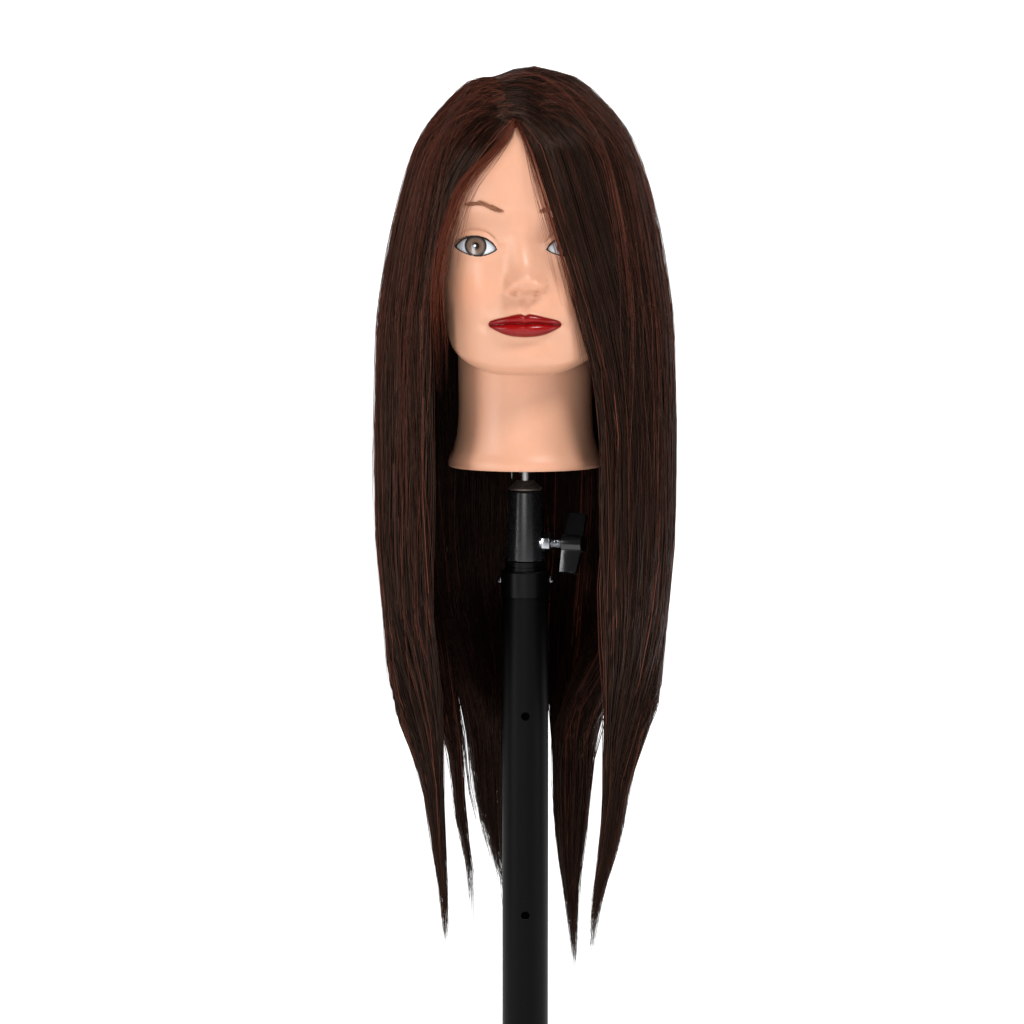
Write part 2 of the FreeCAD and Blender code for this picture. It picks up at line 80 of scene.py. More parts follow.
# ---------------------------------------------------------------- head and face

# Half-width of the head and its reach to the front and back of the axis, by height, and the neck's.
FACE_WIDTH = [(540, 50), (560, 55), (576, 59.5), (600, 61), (625, 65), (652, 69), (682, 72)]
FACE_WIDTH += [(712, 70), (738, 60), (755, 45), (767, 26), (773, 0.5)]
FACE_FRONT = [(540, 72), (560, 79), (576, 82), (594, 84.5), (625, 85.5), (652, 84), (682, 86.5)]
FACE_FRONT += [(712, 82.5), (738, 71.5), (755, 52), (767, 30), (773, 0.5)]
SKULL_BACK = [(540, 58), (564, 63), (594, 74), (625, 87), (652, 94), (682, 98), (712, 97)]
SKULL_BACK += [(738, 84), (755, 66), (767, 40), (773, 0.5)]
NECK_WIDTH = [(484.5, 58), (487.5, 58.3), (497, 54.6), (510, 51.6), (530, 50.4), (560, 51), (640, 52)]
NECK_FRONT = [(484.5, 58), (487.5, 58.3), (497, 55), (510, 52.5), (530, 52), (560, 54), (640, 56)]
NECK_BACK = [(484.5, 58), (487.5, 58.3), (497, 56), (510, 54.5), (530, 54), (560, 57), (640, 70)]
# Height of the jaw's lower edge, by degrees round from the front.
JAW_EDGE = [(0, 556.0), (22, 556.6), (38, 559.0), (50, 562.0), (62, 566), (76, 573), (95, 586)]
JAW_EDGE += [(180, 596)]
JAW_ROUND = [(0, 9.5), (50, 9.5), (90, 20), (180, 40)]

# The middle of each eye's opening from the face's own middle, and its height.
EYE = (33.6, 650.2)
EYE_HALF_WIDTH = 15.6
# The face looks a few degrees to its left, so the middle of each feature lies off the axis.
MIDDLE = [(560, -0.6), (600, -0.6), (612, 0.0), (628, 0.2), (650, -3.0), (740, -3.2)]
# Heights of the lips' edges and of the seam between them, by distance from the face's middle.
LIP_HALF_WIDTH = 27.4
LIP_UPPER = [(0, 601.5), (3.2, 602.7), (8, 602.0), (13.5, 600.6), (20, 599.0), (24, 597.8)]
LIP_UPPER += [(26, 596.6), (27.2, 594.8)]
LIP_LOWER = [(0, 585.4), (7.4, 585.8), (14.6, 587.2), (19.5, 589.2), (23.5, 591.2), (26.5, 593.2)]
LIP_LOWER += [(27.2, 594.7)]
LIP_SEAM = [(0, 595.0), (4, 595.6), (10, 595.7), (18, 594.8), (27, 594.0)]
# How far the nose stands out, and how wide it is, by height.
NOSE_RIDGE = [(613, 0), (616, 0.8), (618.5, 5.5), (621.5, 10.2), (626.5, 13.2), (632, 12.0), (640, 8.2)]
NOSE_RIDGE += [(650, 5.2), (660, 3.0), (670, 1.4), (680, 0.4), (692, 0)]
NOSE_WIDTH = [(610, 12), (618, 13), (626, 13), (634, 11), (644, 10), (655, 10), (670, 12), (690, 14)]


def off_middle(x, z):
    """Distance from the face's own middle."""
    return np.abs(x - smooth(z, MIDDLE))


def eye_lids(across):
    """Upper and lower edge of the eye's opening, for a place from its inner to its outer corner (-1..1)."""
    s = np.clip(across, -1, 1)
    tilt = 0.7 * s
    upper = tilt + 8.8 * (1 - np.abs(s) ** 2.3) ** 0.85
    lower = tilt - 5.5 * (1 - np.abs(s) ** 2.0) ** 0.9
    return EYE[1] + upper, EYE[1] + lower


def inside_eye(x, z):
    """Roughly the distance inside the opening's edge, negative outside it."""
    s = (off_middle(x, z) - EYE[0]) / EYE_HALF_WIDTH
    upper, lower = eye_lids(s)
    side = (1 - np.abs(s)) * EYE_HALF_WIDTH * 0.75
    return np.minimum(np.minimum(upper - z, z - lower), side)


def inside_lips(x, z):
    """Roughly the distance inside the lips' outline, negative outside it."""
    a = off_middle(x, z)
    edge = np.minimum(smooth(a, LIP_UPPER) - z, z - smooth(a, LIP_LOWER))
    return np.minimum(edge, (LIP_HALF_WIDTH - a) * 0.5)


def broad_relief(x, z):
    """How far the face's broad forms stand out, without the lids and the lips."""
    a = off_middle(x, z)
    nose = smooth(z, NOSE_RIDGE) * np.exp(-((a / smooth(z, NOSE_WIDTH)) ** 2.3))
    out = nose + 2.6 * bump(x, z, (0, 627.5), (8.5, 6.5), 2.4)
    out += 6.0 * bump(x, z, (10.6, 623.6), (4.8, 5.0), 2.6)
    out -= 0.9 * bump(x, z, (16.4, 623.0), (2.0, 4.5))
    out += 2.2 * bump(x, z, (26, 677), (22, 7.5)) - 1.2 * bump(x, z, (0, 668), (9, 8))
    out -= 5.6 * bump(x, z, (30, 656), (20, 13.5)) - 5.0 * bump(x, z, (35.3, 651), (16, 11.5))
    out += 3.2 * bump(x, z, (38, 624), (17, 17)) - 0.9 * bump(x, z, (24, 608), (6, 9))
    out += 4.2 * bump(x, z, (0, 596), (23, 14)) - 1.5 * bump(x, z, (29, 593.5), (4.5, 4.5))
    out -= 1.8 * bump(x, z, (0, 581.2), (18, 5.0)) - 4.0 * bump(x, z, (0, 570), (17, 9.5))
    out -= 0.6 * bump(x, z, (0, 610), (2.4, 5.5)) - 0.3 * bump(x, z, (4.8, 609.5), (2.0, 6.0))
    return out


def fine_relief(x, z):
    """Nostrils, lids and lips, which are too sharp for the broad forms."""
    a = off_middle(x, z)
    out = -3.0 * bump(x, z, (7.8, 618.2), (3.4, 1.9), 3.0)
    gap = inside_eye(x, z)
    upper, lower = eye_lids((a - EYE[0]) / EYE_HALF_WIDTH)
    is_upper = step(-3, 3, z - EYE[1])
    lid = 1.3 + 0.9 * is_upper
    out += lid * np.exp(-((np.minimum(gap, 0) / 3.4) ** 2)) * (1 - step(0.2, 2.2, gap))
    out -= 5.0 * step(0.2, 2.4, gap)
    over_eye = step(1.12, 0.85, np.abs(a - EYE[0]) / EYE_HALF_WIDTH)
    out -= 1.5 * over_eye * np.exp(-(((z - upper - 5.4) / 0.9) ** 2))
    seam = smooth(a, LIP_SEAM)
    top = np.clip((z - seam) / (smooth(a, LIP_UPPER) - seam + 0.2), -1, 2)
    low = np.clip((seam - z) / (seam - smooth(a, LIP_LOWER) + 0.2), -1, 2)
    taper = np.sqrt(np.clip(1 - (a / LIP_HALF_WIDTH) ** 2.2, 0, 1))
    out += taper * np.where(z > seam, 3.0, 0) * np.sin(np.pi * np.clip(top, 0, 1)) ** 0.75
    out += taper * np.where(z > seam, 0, 4.4) * np.sin(np.pi * np.clip(low, 0, 1)) ** 0.75
    out -= 1.2 * np.exp(-(((z - seam) / 0.7) ** 2)) * step(1.08, 0.96, a / LIP_HALF_WIDTH)
    return out


def head_base(turn, z):
    """The head without features: x and y at an angle round from the front and a height."""
    deg = np.abs(np.degrees(turn))
    rise = np.clip((z - smooth(deg, JAW_EDGE)) / smooth(deg, JAW_ROUND), 0, 1)
    blend = np.sqrt(1 - (1 - rise) ** 2)
    wide = smooth(z, NECK_WIDTH) * (1 - blend) + smooth(z, FACE_WIDTH) * blend
    front = smooth(z, NECK_FRONT) * (1 - blend) + smooth(z, FACE_FRONT) * blend
    back = smooth(z, NECK_BACK) * (1 - blend) + smooth(z, SKULL_BACK) * blend
    s, c = np.sin(turn), np.cos(turn)
    flat = (1 - np.abs(s) ** 2.6) ** (1 / 2.6)
    share = 0.75 * blend * step(745, 700, z)
    ahead = share * flat + (1 - share) * np.abs(c)
    return wide * s, np.where(c > 0, -front * ahead, back * np.abs(c))


def face_y(x, z):
    """The skin's y at the front of the face, with the broad forms but without lids and lips."""
    x, z = np.asarray(x, float), np.asarray(z, float)
    turn = np.arcsin(np.clip(x / smooth(z, FACE_WIDTH), -1, 1))
    return head_base(turn, z)[1] - broad_relief(x, z)


def grid_mesh(name, points, round_way=True, values=None):
    """A mesh from rows of points. Round rows close on themselves; rows of one place close to a pole."""
    rows, cols = points.shape[:2]
    index = np.arange(rows * cols).reshape(rows, cols)
    faces = []
    last = cols if round_way else cols - 1
    for r in range(rows - 1):
        for c in range(last):
            d = (c + 1) % cols
            faces.append((index[r, c], index[r, d], index[r + 1, d], index[r + 1, c]))
    mesh = bpy.data.meshes.new(name)
    mesh.from_pydata((points.reshape(-1, 3) * MM).tolist(), [], faces)
    for key, value in (values or {}).items():
        mesh.attributes.new(key, "FLOAT", "POINT").data.foreach_set("value", value.ravel())
    work = bmesh.new()
    work.from_mesh(mesh)
    bmesh.ops.remove_doubles(work, verts=work.verts, dist=1e-7)
    bmesh.ops.recalc_face_normals(work, faces=work.faces)
    work.to_mesh(mesh)
    work.free()
    mesh.shade_smooth()
    return link(name, mesh)


def link(name, mesh):
    """An object for a mesh, at the origin and in the scene."""
    item = bpy.data.objects.new(name, mesh)
    bpy.context.scene.collection.objects.link(item)
    return item


def wear(item, material, body, slot, *nodes):
    """Give a finished piece its material, its CAD body and the nodes it stands for; slot is not used."""
    item.data.materials.clear()
    item.data.materials.append(material)
    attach(item, body)
    if nodes:
        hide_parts(*nodes)
    return item


# ---------------------------------------------------------------- materials


def srgb(code):
    """Linear colour of an sRGB hex code."""
    parts = [int(code[i : i + 2], 16) / 255 for i in (1, 3, 5)]
    return [p / 12.92 if p <= 0.04045 else ((p + 0.055) / 1.055) ** 2.4 for p in parts] + [1.0]


def add(tree, kind, inputs=None, **settings):
    """Add a node, set its options, and set or link its inputs by name or number."""
    item = tree.nodes.new(kind)
    for key, value in settings.items():
        setattr(item, key, value)
    for key, value in (inputs or {}).items():
        if isinstance(value, bpy.types.NodeSocket):
            tree.links.new(value, item.inputs[key])
        else:
            item.inputs[key].default_value = value
    return item


def shader(name, **values):
    """A material with a Principled shader, whose sockets are set from plain values."""
    material = bpy.data.materials.new(name)
    material.use_nodes = True
    tree = material.node_tree
    main = tree.nodes["Principled BSDF"]
    for key, value in values.items():
        main.inputs[key.replace("_", " ")].default_value = value
    return material, tree, main


def grain(tree, main, size, depth, rough_low, rough_high):
    """Fine unevenness: a bump of the given size and depth in mm, and roughness that wanders.

    The real grain of moulding, paint and plating is a few hundredths of a millimetre across, too fine
    to show, so each size is as coarse as it needs to be for the light to break up on it.
    """
    place = add(tree, "ShaderNodeTexCoord")
    lumps = {"Vector": place.outputs["Object"], "Scale": 1 / (size * MM), "Detail": 3.0}
    cloud = add(tree, "ShaderNodeTexNoise", lumps)
    spread = {"Value": cloud.outputs["Fac"], "To Min": rough_low, "To Max": rough_high}
    rough = add(tree, "ShaderNodeMapRange", spread)
    relief = add(tree, "ShaderNodeBump", {"Height": cloud.outputs["Fac"], "Distance": depth * MM})
    tree.links.new(rough.outputs["Result"], main.inputs["Roughness"])
    tree.links.new(relief.outputs["Normal"], main.inputs["Normal"])
    return cloud


def plain(name, colour, grain_size, grain_depth, rough, **values):
    """A material of one colour with a little grain."""
    material, tree, main = shader(name, **values)
    main.inputs["Base Color"].default_value = srgb(colour)
    grain(tree, main, grain_size, grain_depth, *rough)
    return material


def painted(tree, under, layers):
    """Lay colours one over another, each shown where the mesh's own value passes from low to high."""
    for key, low, high, colour in layers:
        value = add(tree, "ShaderNodeAttribute", attribute_name=key).outputs["Fac"]
        spread = {"Value": value, "From Min": low, "From Max": high}
        amount = add(tree, "ShaderNodeMapRange", spread).outputs["Result"]
        over = colour if isinstance(colour, bpy.types.NodeSocket) else srgb(colour)
        mix = add(tree, "ShaderNodeMix", data_type="RGBA", inputs={"Factor": amount, 6: under, 7: over})
        under = mix.outputs[2]
    return under


def skin_material():
    """Painted soft vinyl: warm peach with a satin sheen, glossy red lips and dark lid lines."""
    material, tree, main = shader("painted_vinyl_skin", Subsurface_Weight=0.2, Subsurface_Scale=0.008)
    main.inputs["Subsurface Radius"].default_value = (1.0, 0.35, 0.2)
    cloud = grain(tree, main, 2.2, 0.02, 0.34, 0.44)
    tones = {"Factor": cloud.outputs["Fac"], 6: srgb("#C39379"), 7: srgb("#C8997F")}
    peach = add(tree, "ShaderNodeMix", tones, data_type="RGBA").outputs[2]
    # The red is darker near the lips' outline and lighter on their fullest part: painted shade and painted
    # light.
    red = painted(tree, srgb("#6A0304"), [("lip", 0.6, 4.5, "#840506")])
    # The nostrils are darkened with painted shade.
    layers = [("blush", 0.0, 1.0, "#D39373"), ("scalp", 0.35, 0.65, "#24130E"), ("nostril_shade", 0.35, 0.8, "#9A5236")]
    # The crease between the lips is darkened with painted shade.
    layers += [("lip", -0.35, 0.45, red), ("seam", 0.6, 0.1, "#560406"), ("liner", 0.35, 0.65, "#1B1210")]
    tree.links.new(painted(tree, peach, layers), main.inputs["Base Color"])
    lip = add(tree, "ShaderNodeAttribute", attribute_name="lip").outputs["Fac"]
    edge = {"Value": lip, "From Min": -0.35, "From Max": 0.45}
    lips = add(tree, "ShaderNodeMapRange", edge).outputs["Result"]
    satin = main.inputs["Roughness"].links[0].from_socket
    gloss = add(tree, "ShaderNodeMix", {"Factor": lips, 2: satin, 3: 0.24}, data_type="FLOAT")
    tree.links.new(gloss.outputs[0], main.inputs["Roughness"])
    shine = add(tree, "ShaderNodeMapRange", {"Value": lips, "To Min": 0.36, "To Max": 0.26})
    tree.links.new(shine.outputs["Result"], main.inputs["Specular IOR Level"])
    return material


IRIS_RADIUS, PUPIL_RADIUS = 8.1, 2.7


def eye_material():
    """Clear-coated acrylic eye: blue-grey white with painted shade under the lids, grey-brown ringed iris,
    black pupil, painted glint.
    """
    coat = {"Roughness": 0.22, "Coat_Weight": 0.35, "Coat_Roughness": 0.05}
    material, tree, main = shader("painted_acrylic_eye", **coat)
    turn = add(tree, "ShaderNodeAttribute", attribute_name="ray").outputs["Fac"]
    spokes = {"W": turn, "Scale": 9.0, "Detail": 4.0}
    wave = add(tree, "ShaderNodeTexNoise", spokes, noise_dimensions="1D").outputs["Fac"]
    tones = {"Factor": wave, 6: srgb("#3E2F29"), 7: srgb("#8A7567")}
    brown = add(tree, "ShaderNodeMix", tones, data_type="RGBA").outputs[2]
    rings = [("iris", PUPIL_RADIUS + 2.6, PUPIL_RADIUS + 0.4, "#5D4332")]
    rings += [("iris", IRIS_RADIUS - 2.6, IRIS_RADIUS - 0.8, "#241D1B")]
    iris = painted(tree, brown, rings)
    # The white greys within a few mm of the lids' edges: painted shade under the lids.
    layers = [("rim", 2.2, 0.0, "#8C8581"), ("iris", IRIS_RADIUS + 0.3, IRIS_RADIUS - 0.2, iris)]
    layers += [("iris", PUPIL_RADIUS + 0.2, PUPIL_RADIUS - 0.2, "#050404"), ("glint", 0.95, 0.7, "#FFFFFF")]
    tree.links.new(painted(tree, srgb("#C9CDD2"), layers), main.inputs["Base Color"])
    return material


def hair_material(name, dark, mid, light, rough):
    """Fibre whose strands each have their own tone, dark to light, under a soft warm sheen."""
    sheen = {"Specular_IOR_Level": 0.3, "Specular_Tint": srgb("#E6C0AC")}
    material, tree, main = shader(name, Roughness=rough, **sheen)
    tones = painted(tree, srgb(dark), [("tone", 0.0, 0.62, mid), ("tone", 0.72, 1.0, light)])
    tree.links.new(tones, main.inputs["Base Color"])
    return material


# Soft moulded vinyl, sprayed with matt paint: the light goes a little way in, and the sheen is satin.
SKIN = skin_material()
# Cast acrylic, painted from behind: a wet gloss over dull paint.
EYES = eye_material()
# Smooth straight hair fibre: near-black brown with a warm sheen, and some auburn strands.
HAIR = hair_material("dark_brown_hair", "#0A0403", "#1F0E08", "#66372A", 0.28)
# The same fibre where single hairs hang in the light, painted auburn: painted light through thin hair.
LOOSE = hair_material("lit_loose_hair", "#38150B", "#6A3222", "#94503A", 0.4)
# Short fine hair set in the brow: light brown, and nearly matt.
BROW = hair_material("brown_brow_hair", "#7A4E36", "#94624A", "#B07A5C", 0.5)
# Nylon lash fibre: black, with little shine.
LASH = hair_material("black_lash", "#0A0706", "#120D0B", "#1E1613", 0.45)
# Powder-coated steel tube: black, satin, with a soft band of light down it.
BLACK_STEEL = plain("satin_black_steel", "#010101", 0.5, 0.006, (0.36, 0.5), Specular_IOR_Level=0.08)
# Injection-moulded cap and collar: black nylon, slightly shinier than the tube.
MOULDING = plain("black_moulding", "#020202", 0.8, 0.008, (0.28, 0.40), Specular_IOR_Level=0.14)
# Nickel-plated screw heads: bright, slightly worn.
BRIGHT = plain("nickel_screws", "#C9CBD0", 1.5, 0.004, (0.14, 0.26), Metallic=1.0)
# Enamel sprayed on a turned barrel: black gloss, with soft bands of light down it.
GLOSS_SLEEVE = plain("gloss_black_enamel", "#131315", 6.0, 0.004, (0.24, 0.30))
# Turned steel inside the holder: plain grey.
STEEL = plain("turned_steel", "#8F9196", 0.9, 0.006, (0.25, 0.38), Metallic=1.0)
# Chrome-plated nut and thread: very bright with dark edges.
CHROME = plain("chrome_plate", "#9C9EA2", 2.0, 0.002, (0.12, 0.2), Metallic=1.0)
# Turned brass pad at the screw's tip: yellow and softly shiny.
BRASS = plain("brass_pad", "#B8924A", 0.8, 0.004, (0.2, 0.3), Metallic=1.0)
# Moulded ABS knob, polished: black with bright edges.
GLOSS_KNOB = plain("gloss_black_knob", "#0B0B0D", 3.0, 0.006, (0.10, 0.18))
# Drawn steel rod: grey-bright with fine wear.
ROD = plain("drawn_steel_rod", "#A9A7A5", 1.2, 0.006, (0.22, 0.36), Metallic=1.0)
# A run of weld metal left as it cooled: rough, and browned by the heat.
SEAT = plain("rough_seat_metal", "#6A5E57", 0.7, 0.10, (0.42, 0.62), Metallic=0.85)
# Moulded polypropylene plug inside the neck: dull dark brown.
PLUG = plain("neck_plug_plastic", "#3A3432", 1.5, 0.01, (0.4, 0.55))

# ---------------------------------------------------------------- skin and eyes


def spaced(stops):
    """Values from stop to stop, each run at its own spacing."""
    out = []
    for (start, gap), (end, _) in zip(stops, stops[1:]):
        out.append(np.linspace(start, end, max(int(abs(end - start) / gap), 1), endpoint=False))
    return np.concatenate(out + [[stops[-1][0]]])


# Where the hair's inner edge crosses the face on each side: x by height.
WINDOW_LEFT = [(300, 60), (400, 57), (487, 57), (578.6, 45), (594.6, 40), (616, 33.4), (649, 23.6)]
WINDOW_LEFT += [(674, 16), (700, 8.5), (724, 1.8), (738, -4), (745, -6)]
WINDOW_RIGHT = [(300, -66), (400, -65), (487, -65), (560, -66.5), (608, -68.5), (649, -63.5), (674, -57.5)]
WINDOW_RIGHT += [(692, -51), (704, -43.5), (713, -34), (722, -24), (731, -15), (739, -9), (745, -7)]


NECK_RIM_RADIUS = 58.0


def make_skin():
    """The head and neck in one skin, with a painted value for each colour laid on it."""
    heights = spaced([(484.5, 1.5), (500, 3), (552, 0.7), (700, 1.2), (745, 1.8), (773, 1)])
    turns = np.radians(spaced([(-180, 4), (-72, 0.62), (72, 4), (180, 1)])[:-1])
    turn, z = np.meshgrid(turns, heights)
    x, y = head_base(turn, z)
    front = step(-0.05, 0.25, np.cos(turn)) * step(548, 560, z)
    y = y - front * (broad_relief(x, z) + fine_relief(x, z))
    outside = np.stack([x, y, z], 2)
    # The rim turns in under the neck and runs up inside it to a floor above the plug.
    inner = []
    rim = [(484.0, 0.8), (484.0, 3.4), (485.0, 4.0), (489.0, 5.5), (500.0, 5.5), (500.0, NECK_RIM_RADIUS)]
    for height, inset in rim:
        bx, by = head_base(turns, np.full_like(turns, max(height, heights[0])))
        scale = 1 - inset / NECK_RIM_RADIUS
        inner.append(np.stack([bx * scale, by * scale, np.full_like(bx, height)], 1))
    points = np.concatenate([np.array(inner[::-1]), outside])
    lift = z - smooth(off_middle(x, z), LIP_SEAM)
    near_mouth = step(1.0, 0.9, off_middle(x, z) / LIP_HALF_WIDTH)
    eye_gap = inside_eye(x, z)
    upper_line = step(-0.8, -0.4, eye_gap) * step(-1, 2.5, z - EYE[1])
    lower_line = 0.8 * step(-0.5, -0.1, eye_gap)
    right_edge, left_edge = smooth(z, WINDOW_RIGHT), smooth(z, WINDOW_LEFT)
    covered = np.maximum(x - left_edge - 8, right_edge - 5 - x) / 4
    scalp = np.where(np.cos(turn) > 0, step(0, 1, covered), 1) * step(600, 640, z)
    scalp = np.maximum(scalp, step(743, 747, z))
    cheek = 0.5 * bump(x, z, (40, 620), (16, 14)) + 0.2 * step(0, -3, eye_gap)
    # Each painted value, with the one it has where there is no paint: behind, and inside the neck.
    paints = {
        "lip": (inside_lips(x, z), -9),
        # Painted shade along the crease between the lips.
        "seam": (np.where(near_mouth > 0.5, np.abs(lift), 9), 9),
        "liner": (np.maximum(upper_line, lower_line), 0),
        # Painted shade in the nostrils.
        "nostril_shade": (0.5 * bump(x, z, (7.9, 618.8), (3.0, 1.4), 3.0), 0),
        "blush": (cheek, 0),
    }
    ahead = np.cos(turn) > 0.2
    values = {"scalp": np.pad(scalp, ((len(inner), 0), (0, 0)))}
    for key, (value, none) in paints.items():
        bare = np.full((len(inner), len(turns)), float(none))
        values[key] = np.concatenate([bare, np.where(ahead, value, none)])
    skin = grid_mesh("vinyl_skin", points, values=values)
    return wear(skin, SKIN, "head", "vinyl_skin", "head_skin")


def make_eye(side, node):
    """A domed insert behind the lids, a little larger than the opening."""
    s, v = np.meshgrid(np.linspace(-1.0, 1.0, 61), np.linspace(-1.0, 1.0, 41))
    upper, lower = eye_lids(s)
    middle, half = (upper + lower) / 2, (upper - lower) / 2 + 1.3
    x = EYE[0] + s * (EYE_HALF_WIDTH + 1.2)
    z = middle + v * half
    dome = (1 - s * s) ** 0.7 * np.clip(1 - ((z - EYE[1] - 1.6) / 10.5) ** 2, 0, 1) ** 0.8
    place = smooth(z, MIDDLE) + side * x
    y = face_y(place, z) + 1.5 - 2.6 * dome
    front = np.stack([place, y, z], 2)
    back = front + np.array([0, 3.0, 0])
    across, up = x - EYE[0] - 0.2, z - EYE[1] - 1.9
    far = np.hypot(across, up)
    ray = np.degrees(np.arctan2(up, across)) / 9
    glint = np.hypot(across + side * 0.6, up - 0.2)
    # Distance inside the opening, which places the painted shade under the lids.
    rim = inside_eye(place, z)
    values = {"iris": far, "ray": ray, "glint": glint, "rim": rim}
    # Front and back sheets are joined round their edge, so the insert is a closed piece.
    points = np.concatenate([back[:1], front, back[-1:], back[::-1][1:]])
    rows = {k: np.concatenate([w[:1], w, w[-1:], w[::-1][1:]]) for k, w in values.items()}
    eye = grid_mesh(node + "_insert", points, round_way=False, values=rows)
    work = bmesh.new()
    work.from_mesh(eye.data)
    bmesh.ops.holes_fill(work, edges=[e for e in work.edges if e.is_boundary], sides=0)
    bmesh.ops.recalc_face_normals(work, faces=work.faces)
    work.to_mesh(eye.data)
    work.free()
    return wear(eye, EYES, "head", "eye_acrylic", node)


make_skin()
make_eye(LEFT, "left_eye")
make_eye(RIGHT, "right_eye")

# ---------------------------------------------------------------- strands by Geometry Nodes


def strand_tree():
    """Copies of guide lines, each shifted, waved and cut at random, swept to thin tapering strands.

    The guides carry across and outward (unit vectors), spread (half-width of their tuft) and shade.
    """
    tree = bpy.data.node_groups.new("strands", "GeometryNodeTree")
    sizes = ["Radius", "Wave", "Wave_Length", "Depth", "Cut"]
    sockets = [("Guides", "Geometry"), ("Copies", "Int"), ("Seed", "Int")]
    sockets += [(size, "Float") for size in sizes] + [("Finish", "Material")]
    for name, kind in sockets:
        tree.interface.new_socket(name, in_out="INPUT", socket_type="NodeSocket" + kind)
    tree.interface.new_socket("Strands", in_out="OUTPUT", socket_type="NodeSocketGeometry")
    given = add(tree, "NodeGroupInput").outputs
    lines = add(tree, "GeometryNodeMeshToCurve", {"Mesh": given["Guides"]}).outputs["Curve"]
    many = {"Geometry": lines, "Amount": given["Copies"]}
    copies = add(tree, "GeometryNodeDuplicateElements", many, domain="SPLINE").outputs["Geometry"]
    index = add(tree, "GeometryNodeInputIndex").outputs[0]
    strand = add(tree, "GeometryNodeCurveOfPoint", {"Point Index": index}).outputs["Curve Index"]
    along = add(tree, "GeometryNodeSplineParameter").outputs["Factor"]
    place = add(tree, "GeometryNodeInputPosition").outputs[0]

    held = {}
    kept = {"across": "FLOAT_VECTOR", "outward": "FLOAT_VECTOR", "spread": "FLOAT", "shade": "FLOAT"}
    for name, kind in kept.items():
        item = add(tree, "GeometryNodeInputNamedAttribute", {"Name": name}, data_type=kind)
        held[name] = item.outputs["Attribute"]

    # One random value for each strand, by what it is for.
    ranges = {"side": (-1, 1), "depth": (-1, 0), "wave": (0, 900), "cut": (0, 1), "tone": (-0.42, 0.42)}
    chance = {}
    for number, (name, (low, high)) in enumerate(ranges.items(), 1):
        seed = add(tree, "ShaderNodeMath", {0: given["Seed"], 1: float(number)}, operation="ADD").outputs[0]
        spread = {2: low, 3: high, "ID": strand, "Seed": seed}
        chance[name] = add(tree, "FunctionNodeRandomValue", spread, data_type="FLOAT").outputs[1]

    # Each sum is worked out in turn from the ones above it.
    sums = {
        "aside": ("MULTIPLY", chance["side"], held["spread"]),
        "sinking": ("MULTIPLY", chance["depth"], given["Depth"]),
        "early": ("POWER", along, 0.3),
        "inward": ("MULTIPLY", "sinking", "early"),
        "fineness": ("DIVIDE", 1.0, given["Wave_Length"]),
        "late": ("POWER", along, 0.8),
        "wander": ("MULTIPLY", given["Wave"], "late"),
        "swing": ("MULTIPLY", "wander", 2.0),
        "short": ("POWER", chance["cut"], 1.5),
        "lost": ("MULTIPLY", "short", given["Cut"]),
        "end": ("SUBTRACT", 1.0, "lost"),
        "tone": ("ADD", held["shade"], chance["tone"]),
        "left": ("SUBTRACT", 1.0, along),
        "taper": ("MULTIPLY", "left", 7.0),
        "tip": ("MINIMUM", "taper", 1.0),
        "thinned": ("MULTIPLY", "tip", 0.85),
        "blunt": ("ADD", "thinned", 0.15),
        "girth": ("MULTIPLY", "blunt", given["Radius"]),
    }
    value = {}
    for name, (operation, *terms) in sums.items():
        terms = {i: value[term] if isinstance(term, str) else term for i, term in enumerate(terms)}
        value[name] = add(tree, "ShaderNodeMath", terms, operation=operation).outputs[0]

    drifted = {"Vector": place, "W": chance["wave"], "Scale": value["fineness"], "Detail": 1.0}
    cloud = add(tree, "ShaderNodeTexNoise", drifted, noise_dimensions="4D").outputs["Color"]
    middle = {0: cloud, 1: (0.5, 0.5, 0.5)}
    centred = add(tree, "ShaderNodeVectorMath", middle, operation="SUBTRACT").outputs[0]
    shift = (0.0, 0.0, 0.0)
    for way, amount in ((held["across"], "aside"), (held["outward"], "inward"), (centred, "swing")):
        scaled = {0: way, "Scale": value[amount]}
        offset = add(tree, "ShaderNodeVectorMath", scaled, operation="SCALE").outputs[0]
        shift = add(tree, "ShaderNodeVectorMath", {0: shift, 1: offset}, operation="ADD").outputs[0]
    moved = add(tree, "GeometryNodeSetPosition", {"Geometry": copies, "Offset": shift}).outputs[0]
    tone = {"Geometry": moved, "Name": "tone", "Value": value["tone"]}
    toned = add(tree, "GeometryNodeStoreNamedAttribute", tone, data_type="FLOAT", domain="POINT").outputs[0]
    trimmed = add(tree, "GeometryNodeTrimCurve", {"Curve": toned, 3: value["end"]}, mode="FACTOR").outputs[0]
    circle = {"Resolution": 3, "Radius": 1.0}
    ring = add(tree, "GeometryNodeCurvePrimitiveCircle", circle, mode="RADIUS").outputs["Curve"]
    sweep = {"Curve": trimmed, "Profile Curve": ring, "Scale": value["girth"], "Fill Caps": True}
    swept = add(tree, "GeometryNodeCurveToMesh", sweep).outputs[0]
    soft = add(tree, "GeometryNodeSetShadeSmooth", {"Geometry": swept}).outputs[0]
    real = add(tree, "GeometryNodeRealizeInstances", {"Geometry": soft}).outputs[0]
    worn = add(tree, "GeometryNodeSetMaterial", {"Geometry": real, "Material": given["Finish"]}).outputs[0]
    add(tree, "NodeGroupOutput", {0: worn})
    return tree


STRANDS = strand_tree()
HEAD_CENTRE = np.array([0.0, 5.0, 640.0])


